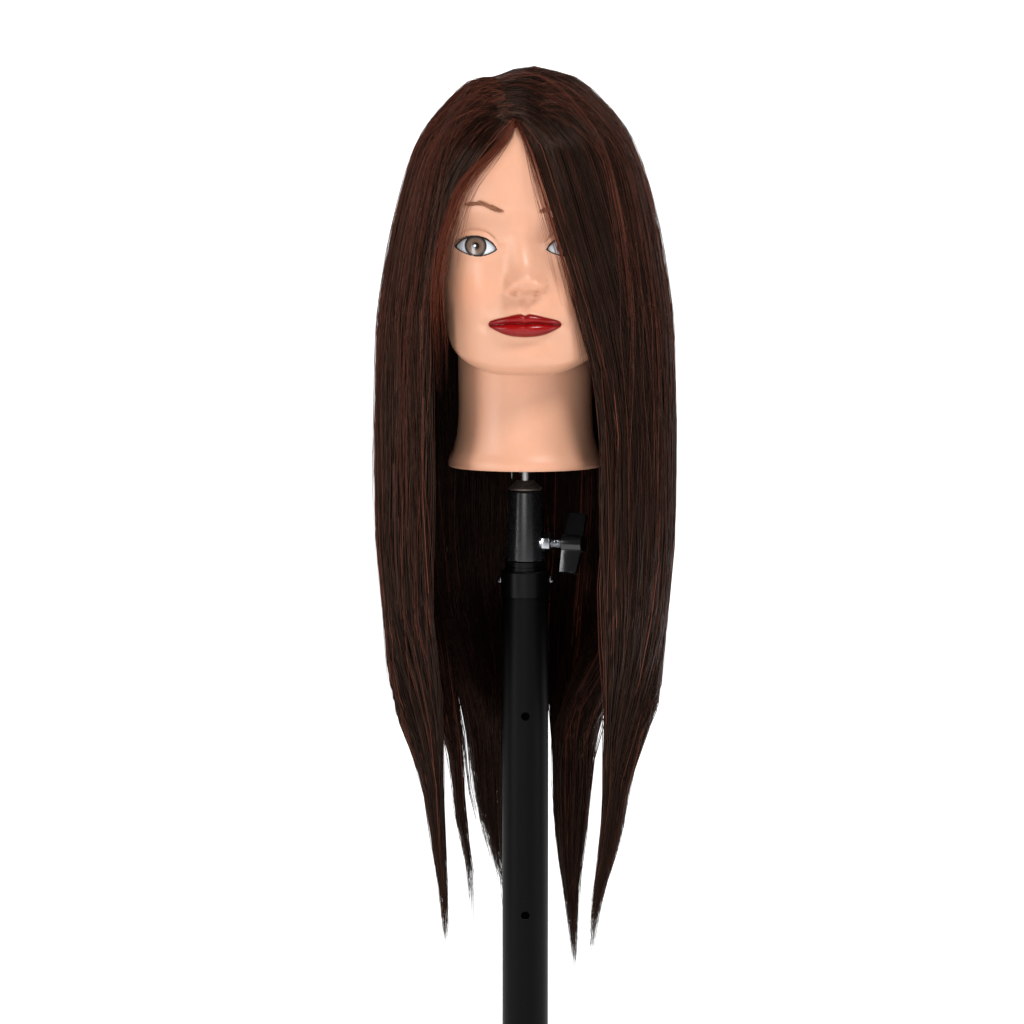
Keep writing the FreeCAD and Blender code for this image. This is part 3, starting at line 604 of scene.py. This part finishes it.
def grow(name, guides, spread, shade, finish, slot, nodes=(), copies=6, seed=1, radius=0.36, wave=3.0,
         wave_length=95, depth=3.0, cut=0.15):
    """Strands along guide lines (count, points, xyz), as one finished piece.

    A real hair is 0.07 mm thick. A strand is drawn several times as thick, because that is what shows,
    and stands for the few dozen hairs that lie together.
    """
    count, length = guides.shape[:2]
    along = np.gradient(guides, axis=1)
    along /= np.linalg.norm(along, axis=2, keepdims=True) + 1e-9
    away = guides - HEAD_CENTRE
    away[..., 2] *= step(HEAD_CENTRE[2] + 20, HEAD_CENTRE[2] + 90, guides[..., 2])
    away /= np.linalg.norm(away, axis=2, keepdims=True) + 1e-9
    across = np.cross(along, away)
    across /= np.linalg.norm(across, axis=2, keepdims=True) + 1e-9
    start = np.arange(count * length).reshape(count, length)
    edges = np.stack([start[:, :-1], start[:, 1:]], 2).reshape(-1, 2)
    mesh = bpy.data.meshes.new(name)
    mesh.from_pydata((guides.reshape(-1, 3) * MM).tolist(), edges.tolist(), [])
    for key, value in {"across": across, "outward": away}.items():
        mesh.attributes.new(key, "FLOAT_VECTOR", "POINT").data.foreach_set("vector", value.ravel())
    shades = np.asarray(shade, float).reshape(-1, 1)
    for key, value in {"spread": spread * MM, "shade": shades}.items():
        whole = np.ascontiguousarray(np.broadcast_to(value, (count, length)), float)
        mesh.attributes.new(key, "FLOAT", "POINT").data.foreach_set("value", whole.ravel())
    item = link(name, mesh)
    modifier = item.modifiers.new("strands", "NODES")
    modifier.node_group = STRANDS
    given = {"Copies": copies, "Seed": seed, "Radius": radius * MM, "Wave": wave * MM}
    given.update({"Wave_Length": wave_length * MM, "Depth": depth * MM, "Cut": cut, "Finish": finish})
    for socket in STRANDS.interface.items_tree:
        if socket.name in given:
            modifier[socket.identifier] = given[socket.name]
    graph = bpy.context.evaluated_depsgraph_get()
    made = bpy.data.meshes.new_from_object(item.evaluated_get(graph))
    item.modifiers.clear()
    item.data = made
    return wear(item, finish, "head", slot, *nodes)


# ---------------------------------------------------------------- hair

# Half-width of the hair, and its reach to the front and back of the axis, by height.
HAIR_WIDTH = [(60, 60), (145, 62), (175, 70), (200, 76), (230, 82), (255, 87), (275, 96), (300, 102)]
HAIR_WIDTH += [(340, 107), (390, 110), (430, 113.5), (480, 114), (540, 113), (595, 111), (630, 106)]
HAIR_WIDTH += [(664, 100), (692, 93), (721, 84), (741, 73), (760, 57), (776, 38), (784, 9), (785, 1)]
HAIR_FRONT = [(110, 60), (200, 66), (300, 74), (400, 76), (500, 77), (540, 79), (580, 84), (610, 90)]
HAIR_FRONT += [(640, 96), (664, 98), (692, 95), (725, 84), (741, 74), (755, 62), (776, 38), (784, 9)]
HAIR_FRONT += [(785, 1)]
HAIR_BACK = [(110, 73), (200, 83), (250, 91), (300, 99), (400, 106), (500, 110), (590, 112), (640, 111)]
HAIR_BACK += [(692, 107), (725, 98), (755, 77), (776, 49), (784, 15), (785, 1)]


def envelope(turn, z, depth=0.0):
    """A place on the hair's outside, at an angle round from the front towards +X."""
    wide = smooth(z, HAIR_WIDTH)
    reach = np.where(np.cos(turn) > 0, smooth(z, HAIR_FRONT), smooth(z, HAIR_BACK))
    return np.stack([(wide - depth) * np.sin(turn), -(reach - depth) * np.cos(turn), z + 0 * turn], -1)


def dome_height(x, y):
    """The height of the hair's top over a place in plan."""
    levels = np.linspace(785, 660, 126)
    reach = np.where(y[..., None] < 0, smooth(levels, HAIR_FRONT), smooth(levels, HAIR_BACK))
    inside = (x[..., None] / smooth(levels, HAIR_WIDTH)) ** 2 + (y[..., None] / reach) ** 2 < 1
    first = np.argmax(inside, axis=-1)
    return np.where(inside.any(-1), levels[first], levels[-1])


# Locks at the ends of the hair: centre x by height, half-width by height, the y they hang at, and
# half their depth.
LOCKS = {
    "outer_right": (
        [(350, -84), (300, -81), (263, -73.5), (230, -70), (200, -67.7), (170, -64.5), (150, -62)],
        [(350, 26), (300, 18), (263, 8.5), (230, 6), (200, 3.8), (170, 2.2), (150, 1)], -18, 16),
    "inner_right": (
        [(300, -60), (263, -55), (215, -52), (165, -43)],
        [(300, 8), (263, 5), (215, 3.2), (165, 1)], 34, 10),
    "post_right": (
        [(300, -34), (263, -33), (240, -32.5), (220, -31), (194, -27), (167, -22), (148, -16)],
        [(300, 22), (263, 19), (240, 17), (220, 14.5), (194, 11), (167, 5.5), (148, 1.5)], 50, 9),
    "post_left": (
        [(300, 39), (263, 38.5), (216, 37), (186, 36.6), (156, 36.5), (118, 40)],
        [(300, 20), (263, 17), (216, 14.5), (186, 11), (156, 6.5), (118, 1.5)], 46, 11),
    "outer_left": (
        [(350, 85), (300, 81), (263, 72.4), (216, 68.5), (186, 63), (156, 56.7), (141, 52)],
        [(350, 24), (300, 19), (263, 10.5), (216, 8), (186, 6), (156, 2), (141, 1)], -14, 16),
    "behind_post": (
        [(300, 0), (230, 0)],
        [(300, 17), (250, 12), (220, 5)], 62, 7),
}
TUFTS = 5  # narrow bundles that each lock breaks into at its end


def into_lock(points, name, rank, layer):
    """Gather the lower ends of guides into a lock; rank is -1..1 across it and layer -1..1 through it."""
    centre, half, y, deep = LOCKS[name]
    z = points[..., 2]
    narrow = smooth(z, half)
    tuft = np.floor(np.clip((rank + 1) / 2, 0, 0.999) * TUFTS)
    heart = (tuft + 0.5) / TUFTS * 2 - 1
    gathered = rank[:, None] + (heart - rank)[:, None] * 0.85 * step(300, 185, z)
    target_x = smooth(z, centre) + gathered * narrow
    target_y = y + layer[:, None] * deep * np.clip(narrow / half[0][1], 0.12, 1)
    pull = step(390, 262, z)
    points[..., 0] += (target_x - points[..., 0]) * pull
    points[..., 1] += (target_y - points[..., 1]) * pull
    return points


DOME_POINTS, FALL_POINTS = 11, 14


def falls(roots, turn_at, join, tips, depth):
    """Guides from roots over the dome to the height join, then down the outside to their tips."""
    share = np.linspace(0, 1, FALL_POINTS)
    z = join[:, None] + (tips - join)[:, None] * share**1.05
    fall = envelope(turn_at(z), z, depth[:, None])
    shoulder = envelope(turn_at(z[:, :1]), z[:, :1])
    # The steps shorten towards the shoulder, where the outline turns down.
    t = np.sin(np.linspace(0, 1, DOME_POINTS, endpoint=False) * math.pi / 2)[None, :]
    plan = roots[:, None, :2] * (1 - t[..., None]) + shoulder[:, :, :2] * t[..., None]
    dome = np.concatenate([plan, dome_height(plan[..., 0], plan[..., 1])[..., None]], 2)
    away = dome - HEAD_CENTRE
    far = np.linalg.norm(away, axis=2, keepdims=True)
    sink = (depth[:, None] * (0.35 + 0.65 * t) + 4.0 * (1 - step(0, 0.3, t)))[..., None]
    dome = HEAD_CENTRE + away * (1 - sink / far)
    guides = np.concatenate([dome, fall], 1)
    for _ in range(2):
        middle = (guides[:, :-2] + guides[:, 2:]) / 2
        near = slice(DOME_POINTS - 3, DOME_POINTS + 2)
        guides[:, 1:-1][:, near] = (guides[:, 1:-1] * 0.5 + middle * 0.5)[:, near]
    return guides


def spread_along(guides, root, middle, low, tip):
    """Half-width of each guide's own tuft, from its root to its tip."""
    z = guides[..., 2]
    tuft = smooth(z, [(100, tip), (200, low * 0.8), (330, low), (600, middle), (700, middle)])
    start = np.linspace(0, 1, guides.shape[1])[None, :]
    return root + (tuft - root) * step(0, 0.3, start)


PARTING = np.array([[-7, -70.5], [-13, -60.0], [-19, -35.0], [-25, -8.0], [-24, 14.0]])


def on_parting(u):
    """A place in plan along the parting, 0 at the hairline and 1 at the whorl."""
    u = np.clip(u, 0, 1) * (len(PARTING) - 1)
    whole = np.arange(len(PARTING))
    return np.stack([np.interp(u, whole, PARTING[:, 0]), np.interp(u, whole, PARTING[:, 1])], 1)


def drift(z, phase, amount):
    """Slow sideways wander of each guide, as an angle that varies down the fall."""
    low = step(700, 560, z)
    return amount * low * (np.sin(z / 62 + phase[0]) + 0.6 * np.sin(z / 27 + phase[1]))


def front_section(name, side, count, low, high, nodes, lock, tip, seed, copies=6):
    """Hair from the parting over one side of the face; low..high is its share from the edge back."""
    rng = np.random.default_rng(seed)
    q = np.sort(low + (high - low) * (np.arange(count) + rng.uniform(0.1, 0.9, count)) / count)
    window = WINDOW_LEFT if side > 0 else WINDOW_RIGHT
    depth = rng.uniform(0, 1, count) ** 1.2 * (8 - 2 * q)
    phase = rng.uniform(0, 2 * math.pi, (2, count, 1))

    def turn_at(z):
        edge = np.arcsin(np.clip(smooth(z, window) / smooth(z, HAIR_WIDTH), -1, 1))
        edge = edge + side * math.radians(2.6 if side > 0 else 5.6)
        rear = side * math.radians(98)
        return edge + (rear - edge) * q[:, None] ** 0.9 + drift(z, phase, 0.022)

    roots = on_parting(q**0.8 + rng.normal(0, 0.02, count))
    join = 735 - 37 * q**0.5
    tips = rng.normal(tip, 19, count)
    guides = falls(roots, turn_at, join, tips, depth)
    rank = side * (2 * q - 1)
    guides = into_lock(guides, lock, rank, rng.uniform(-1, 1, count))
    shade = 0.42 + 0.16 * rng.standard_normal(count)
    spread = spread_along(guides, 2.4, 4.2, 2.7, 0.7)
    return grow(name, guides, spread, shade, HAIR, "hair_fibre", nodes, copies=copies, seed=seed)


def back_section(name, start, end, count, nodes, lock, tip, seed, copies=6):
    """Hair from the whorl down the back, between two angles counted from the front."""
    rng = np.random.default_rng(seed)
    q = (np.arange(count) + rng.uniform(0.1, 0.9, count)) / count
    turn = np.radians(start + (end - start) * q)
    depth = rng.uniform(0, 1, count) ** 1.2 * 9
    roots = np.array([-18.0, 18.0]) + 14 * np.stack([np.sin(turn), -np.cos(turn)], 1)
    join = np.full(count, 700.0)
    tips = rng.normal(tip, 19, count)
    phase = rng.uniform(0, 2 * math.pi, (2, count, 1))
    guides = falls(roots, lambda z: turn[:, None] + drift(z, phase, 0.022), join, tips, depth)
    x = guides[:, -1, 0]
    rank = np.interp(x, (x.min(), x.max()), (-1, 1))
    guides = into_lock(guides, lock, rank, rng.uniform(-1, 1, count))
    shade = 0.36 + 0.15 * rng.standard_normal(count)
    spread = spread_along(guides, 3.0, 4.8, 2.9, 0.7)
    return grow(name, guides, spread, shade, HAIR, "hair_fibre", nodes, copies=copies, seed=seed)


front_section("fringe_left_strands", LEFT, 210, 0.0, 0.5, ("hair_fringe_left",), "outer_left", 146, 11)
front_section("side_left_strands", LEFT, 210, 0.5, 1.0, ("hair_side_left",), "outer_left", 150, 12)
front_section("temple_right_strands", RIGHT, 210, 0.0, 0.5, ("hair_temple_right",), "outer_right", 158, 13)
front_section("side_right_strands", RIGHT, 210, 0.5, 1.0, ("hair_side_right",), "outer_right", 156, 14)
BACK_LEFT, BACK_RIGHT = ("hair_back_left", "hair_crown_left"), ("hair_back_right", "hair_crown_right")
back_section("back_left_strands", 96, 142, 210, BACK_LEFT, "post_left", 128, 15)
back_section("back_right_strands", -96, -142, 200, BACK_RIGHT, "inner_right", 176, 16)
back_section("nape_left_strands", 136, 169, 170, ("hair_nape",), "post_left", 120, 17)
back_section("nape_right_strands", -135, -168, 170, ("hair_nape",), "post_right", 165, 18)
back_section("nape_middle_strands", 165, 196, 140, ("hair_nape",), "behind_post", 232, 19)

# ---------------------------------------------------------------- brows, lashes and loose hairs


def on_face(x, z, lift):
    """Places on the skin, lifted off it."""
    return np.stack([x, face_y(x, z) - lift, z], -1)


def make_brow(side, seed):
    """Short hairs in an arched band that thins out towards the temple."""
    rng = np.random.default_rng(seed)
    count, points = 84, 5
    start = np.linspace(12.5, 38, count) + rng.normal(0, 0.3, count)
    t = np.linspace(0, 1, points)[None, :]
    x = start[:, None] + 5.5 * t
    arch = [(10, 675.5), (19, 678.8), (30, 683.2), (38, 682.4), (50, 677.5)]
    thick = np.interp(start, (11, 20, 34, 46), (1.5, 2.0, 1.2, 0.4))
    z = smooth(x, arch) + rng.uniform(-1, 1, count)[:, None] * thick[:, None] + 0.7 * t
    guides = on_face(smooth(z, MIDDLE) + x * side, z, 0.25 + 0.35 * np.sin(np.pi * t))
    name = "brow_left" if side > 0 else "brow_right"
    grow(name, guides, 0.35, rng.uniform(0.2, 0.7, count), BROW, "hair_fibre", copies=3, seed=seed,
         radius=0.09, wave=0.3, wave_length=12, depth=0.0, cut=0.3)


def make_lashes(side, seed):
    """Upper lashes along the lid's edge, longer towards the outer corner."""
    rng = np.random.default_rng(seed)
    count, points = 60, 5
    s = np.linspace(-0.9, 0.98, count)
    t = np.linspace(0, 1, points)[None, :]
    x0, z0 = EYE[0] + s * EYE_HALF_WIDTH, eye_lids(s)[0]
    long = 1.6 + 1.8 * step(-0.5, 0.9, s)
    x = x0[:, None] + (0.9 * s * long)[:, None] * t * 0.6
    z = z0[:, None] + (long * 0.75)[:, None] * t**1.4 - 0.5
    y = face_y(smooth(z0, MIDDLE) + side * x0, z0)[:, None] - 1.6 - long[:, None] * 0.7 * np.sin(t * 1.9)
    guides = np.stack([smooth(z, MIDDLE) + x * side, y, z], -1)
    name = "lashes_left" if side > 0 else "lashes_right"
    grow(name, guides, 0.3, rng.uniform(0.1, 0.6, count), LASH, "hair_fibre", copies=2, seed=seed,
         radius=0.13, wave=0.3, wave_length=10, depth=0.0, cut=0.25)


def make_loose(side, count, reach, tips, seed):
    """Fine hairs, painted auburn for the light through them, that leave the edge of the fall and cross the
    face and neck.
    """
    rng = np.random.default_rng(seed)
    window = WINDOW_LEFT if side > 0 else WINDOW_RIGHT
    stray = rng.exponential(reach, count)
    phase = rng.uniform(0, 2 * math.pi, (count, 1))

    def turn_at(z):
        out = (stray[:, None] * (0.7 + 0.3 * np.sin(z / 55 + phase)) - 2.0) * step(745, 700, z)
        return np.arcsin(np.clip((smooth(z, window) - side * out) / smooth(z, HAIR_WIDTH), -1, 1))

    roots = on_parting(rng.uniform(0, 0.08, count))
    join = 735 - rng.uniform(0, 12, count)
    guides = falls(roots, turn_at, join, rng.uniform(*tips, count), rng.uniform(-1, 4, count))
    name = "loose_hairs_left" if side > 0 else "loose_hairs_right"
    grow(name, guides, 2.0, rng.uniform(0.1, 0.9, count), LOOSE, "hair_fibre", copies=3, seed=seed,
         radius=0.09, wave=4.0, wave_length=120, depth=1.0, cut=0.35)


def make_flyaway(side, count, seed):
    """Fine hairs that lie on the outside of the fall and stray a little from it."""
    rng = np.random.default_rng(seed)
    turn = side * np.radians(rng.uniform(40, 100, count))
    phase = rng.uniform(0, 2 * math.pi, (2, count, 1))
    roots = on_parting(rng.uniform(0, 0.9, count))
    tips = rng.uniform(250, 560, count)
    lift = rng.uniform(-2.0, 0.5, count)
    guides = falls(roots, lambda z: turn[:, None] + drift(z, phase, 0.035), np.full(count, 706.0), tips, lift)
    name = "flyaway_left" if side > 0 else "flyaway_right"
    # The lighter tones stand for light through single hairs at the outline: painted light.
    grow(name, guides, 1.5, rng.uniform(0.6, 1.0, count), HAIR, "hair_fibre", copies=2, seed=seed,
         radius=0.12, wave=2.5, wave_length=80, depth=1.0, cut=0.5)


for side, seed in ((LEFT, 31), (RIGHT, 32)):
    make_brow(side, seed)
    make_lashes(side, seed + 4)
    make_flyaway(side, 110, seed + 20)

make_loose(LEFT, 12, 2.5, (480, 620), 41)
make_loose(RIGHT, 44, 6.5, (520, 650), 42)

# ---------------------------------------------------------------- holder and post


def rounded(name, node, radius, finish, body, slot):
    """The node's own shape with its sharp edges rounded off."""
    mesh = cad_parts[node].data.copy()
    work = bmesh.new()
    work.from_mesh(mesh)
    bmesh.ops.remove_doubles(work, verts=work.verts, dist=1e-6)
    bmesh.ops.dissolve_limit(work, angle_limit=math.radians(0.5), verts=work.verts, edges=work.edges)
    sharp = [e for e in work.edges if len(e.link_faces) == 2 and e.calc_face_angle() > math.radians(28)]
    round_off = {"offset": radius * MM, "segments": 3, "profile": 0.5, "clamp_overlap": True}
    bmesh.ops.bevel(work, geom=sharp, affect="EDGES", **round_off)
    bmesh.ops.triangulate(work, faces=[f for f in work.faces if len(f.verts) > 4])
    bmesh.ops.recalc_face_normals(work, faces=work.faces)
    work.to_mesh(mesh)
    work.free()
    mesh.shade_smooth()
    mesh.set_sharp_from_angle(angle=math.radians(40))
    return wear(link(name, mesh), finish, body, slot, node)


rounded("wing_knob_moulded", "wing_knob", 0.8, GLOSS_KNOB, "wing_screw", "gloss_black_knob")
rounded("clamp_nut_plated", "clamp_nut", 0.3, CHROME, "stand", "chrome_clamp")
rounded("cap_screws_plated", "cap_screws", 0.35, BRIGHT, "stand", "bright_screws")

CLAMP_HEIGHT, CLAMP_AZIMUTH = 426.0, -20.0
CLAMP = Matrix.Translation((0, 0, CLAMP_HEIGHT)) @ Matrix.Rotation(math.radians(CLAMP_AZIMUTH), 4, "Z")
CLAMP = CLAMP @ Matrix.Rotation(math.radians(90), 4, "Y")


def make_screw():
    """The M8 screw with its 1.25 mm thread, closed at both ends."""
    start, end, radius, pitch, deep = 7.05, 42.05, 4.0, 1.25, 0.68
    turns = np.linspace(0, 2 * np.pi, 49)[:-1]
    along = np.linspace(start + 0.2, end - 0.2, 200)
    turn, s = np.meshgrid(turns, along)
    phase = np.mod(s / pitch - turn / (2 * np.pi), 1.0)
    tooth = np.clip(np.abs(phase - 0.5) * 2.6 - 0.12, 0, 1)
    fade = step(start, start + 1.2, s)
    r = radius - deep * tooth * fade - 0.5 * (1 - fade)
    body = np.stack([r * np.cos(turn), r * np.sin(turn), s], 2)
    ends = [np.stack([0 * turns, 0 * turns, np.full_like(turns, place)], 1)[None] for place in (start, end)]
    points = np.concatenate([ends[0], body, ends[1]])
    flat = points.reshape(-1, 3) @ np.array(CLAMP.to_3x3()).T + np.array([0, 0, CLAMP_HEIGHT])
    screw = grid_mesh("wing_screw_thread", flat.reshape(points.shape))
    screw.data.set_sharp_from_angle(angle=math.radians(50))
    return wear(screw, CHROME, "wing_screw", "chrome_clamp", "wing_screw")


def make_seat():
    """The seat's cone, lumpy like a run of weld."""
    profile = [(4.85, 465.8), (12.2, 465.8), (12.8, 466.3), (12.8, 467.1), (11.2, 468.5), (9.2, 470.1)]
    profile += [(7.4, 471.7), (5.9, 473.0), (4.85, 473.0), (4.85, 465.8)]
    fine = []
    for (r0, z0), (r1, z1) in zip(profile, profile[1:]):
        for t in np.linspace(0, 1, 6, endpoint=False):
            fine.append((r0 + (r1 - r0) * t, z0 + (z1 - z0) * t))
    turns = np.linspace(0, 2 * np.pi, 73)[:-1]
    rows = []
    for r, z in fine:
        row = []
        for turn in turns:
            place = Vector((r * math.cos(turn), r * math.sin(turn), z))
            on_cone = 467.4 < z < 472.7 and r > 5.2
            lump = noise.fractal(place * 0.55, 0.7, 2.0, 3) * 0.7 if on_cone else 0.0
            row.append(((r + lump) * math.cos(turn), (r + lump) * math.sin(turn), z))
        rows.append(row)
    seat = grid_mesh("rod_seat_weld", np.array(rows + rows[:1]))
    return wear(seat, SEAT, "spigot", "seat_metal", "rod_seat")


def turned(name, outline, radius, finish, body, slot, node):
    """A closed turned piece from (radius, height) corners, its corners rounded."""
    corners = np.array(outline, float)
    rows = []
    for i, corner in enumerate(corners):
        before, after = corners[i - 1] - corner, corners[(i + 1) % len(corners)] - corner
        cut = min(radius, 0.45 * np.linalg.norm(before), 0.45 * np.linalg.norm(after))
        start = corner + before / np.linalg.norm(before) * cut
        end = corner + after / np.linalg.norm(after) * cut
        for t in (0, 0.25, 0.5, 0.75, 1):
            rows.append(start * (1 - t) ** 2 + corner * 2 * t * (1 - t) + end * t * t)
    rows.append(rows[0])
    turns = np.linspace(0, 2 * np.pi, 129)[:-1]
    profile = np.array(rows)
    x, y = profile[:, :1] * np.cos(turns), profile[:, :1] * np.sin(turns)
    points = np.stack([x, y, np.repeat(profile[:, 1:], len(turns), 1)], 2)
    return wear(grid_mesh(name, points), finish, body, slot, node)


make_screw()
make_seat()
SLEEVE = [(7.1, 413.6), (10.1, 413.6), (10.1, 411.5), (13.7, 411.5), (14.9, 412.7), (12.6, 464.3)]
SLEEVE += [(11.4, 465.5), (7.1, 465.5)]
SLEEVE_WEAR = ("stand", "gloss_black_sleeve", "holder_sleeve")
turned("holder_sleeve_enamelled", SLEEVE, 0.6, GLOSS_SLEEVE, *SLEEVE_WEAR)

# Pieces that keep the shape they were machined to, and get only their finish.
KEPT = {
    "post_tube": BLACK_STEEL,
    "post_cap": MOULDING,
    "collar_ring": MOULDING,
    "sleeve_bush": STEEL,
    "tie_bolt": STEEL,
    "socket_bush": STEEL,
    "clamp_pad": BRASS,
    "spigot_rod": ROD,
    "neck_plug": PLUG,
}
for node, finish in KEPT.items():
    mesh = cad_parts[node].data
    mesh.materials.clear()
    mesh.materials.append(finish)

# ---------------------------------------------------------------- studio

scene = bpy.context.scene
scene.view_settings.view_transform = "Standard"
scene.view_settings.look = "None"

world = bpy.data.worlds.new("studio")
world.use_nodes = True
world.node_tree.nodes["Background"].inputs["Color"].default_value = (1, 1, 1, 1)
world.node_tree.nodes["Background"].inputs["Strength"].default_value = 0.16
scene.world = world


def make_stage():
    """A white sweep, in metres: a floor that curves up well behind the object."""
    reach, bend, high = 4.5, 0.9, 3.2
    path = [(-reach, 0.0), (reach - bend, 0.0)]
    for a in np.linspace(0.15, math.pi / 2, 10):
        path.append((reach - bend + bend * math.sin(a), bend - bend * math.cos(a)))
    path.append((reach, high))
    rows = [[(x, y, z) for x in np.linspace(-reach, reach, 3)] for y, z in path]
    points = np.array(rows) / MM
    sweep = grid_mesh("studio_sweep", points, round_way=False)
    paper, tree, main = shader("white_paper_sweep", Roughness=0.9)
    main.inputs["Base Color"].default_value = (0.9, 0.9, 0.9, 1)
    main.inputs["Emission Color"].default_value = (1, 1, 1, 1)
    main.inputs["Emission Strength"].default_value = 0.72
    sweep.data.materials.append(paper)


def area(name, place, target, size, power):
    """A soft box: place, target and size in metres, and power in watts."""
    light = bpy.data.lights.new(name, "AREA")
    light.shape = "RECTANGLE"
    light.size, light.size_y = size
    light.energy = power
    item = bpy.data.objects.new(name, light)
    item.location = place
    item.rotation_euler = (Vector(target) - Vector(place)).to_track_quat("-Z", "Y").to_euler()
    scene.collection.objects.link(item)


make_stage()
area("key_left", (-2.0, -1.3, 0.95), (0, 0, 0.7), (0.55, 1.5), 30)
area("front", (-0.4, -2.9, 0.9), (0, 0, 0.62), (1.2, 1.0), 15)
area("fill_right", (2.1, -0.8, 0.9), (0, 0, 0.65), (0.4, 1.5), 15)
area("top_right", (0.55, -1.0, 1.9), (0.04, 0, 0.7), (0.45, 0.4), 24)

camera = bpy.data.cameras.new("camera")
camera.lens, camera.sensor_width = 139.8, 36.0
viewer = bpy.data.objects.new("camera", camera)
# The view looks slightly down from in front, a little to the head's right of the post.
aside = -0.0101
viewer.location = (aside, -3.0, 0.73)
aim = Vector((aside, 0.0, 0.4488))
viewer.rotation_euler = (aim - viewer.location).to_track_quat("-Z", "Y").to_euler()
scene.collection.objects.link(viewer)
scene.camera = viewer
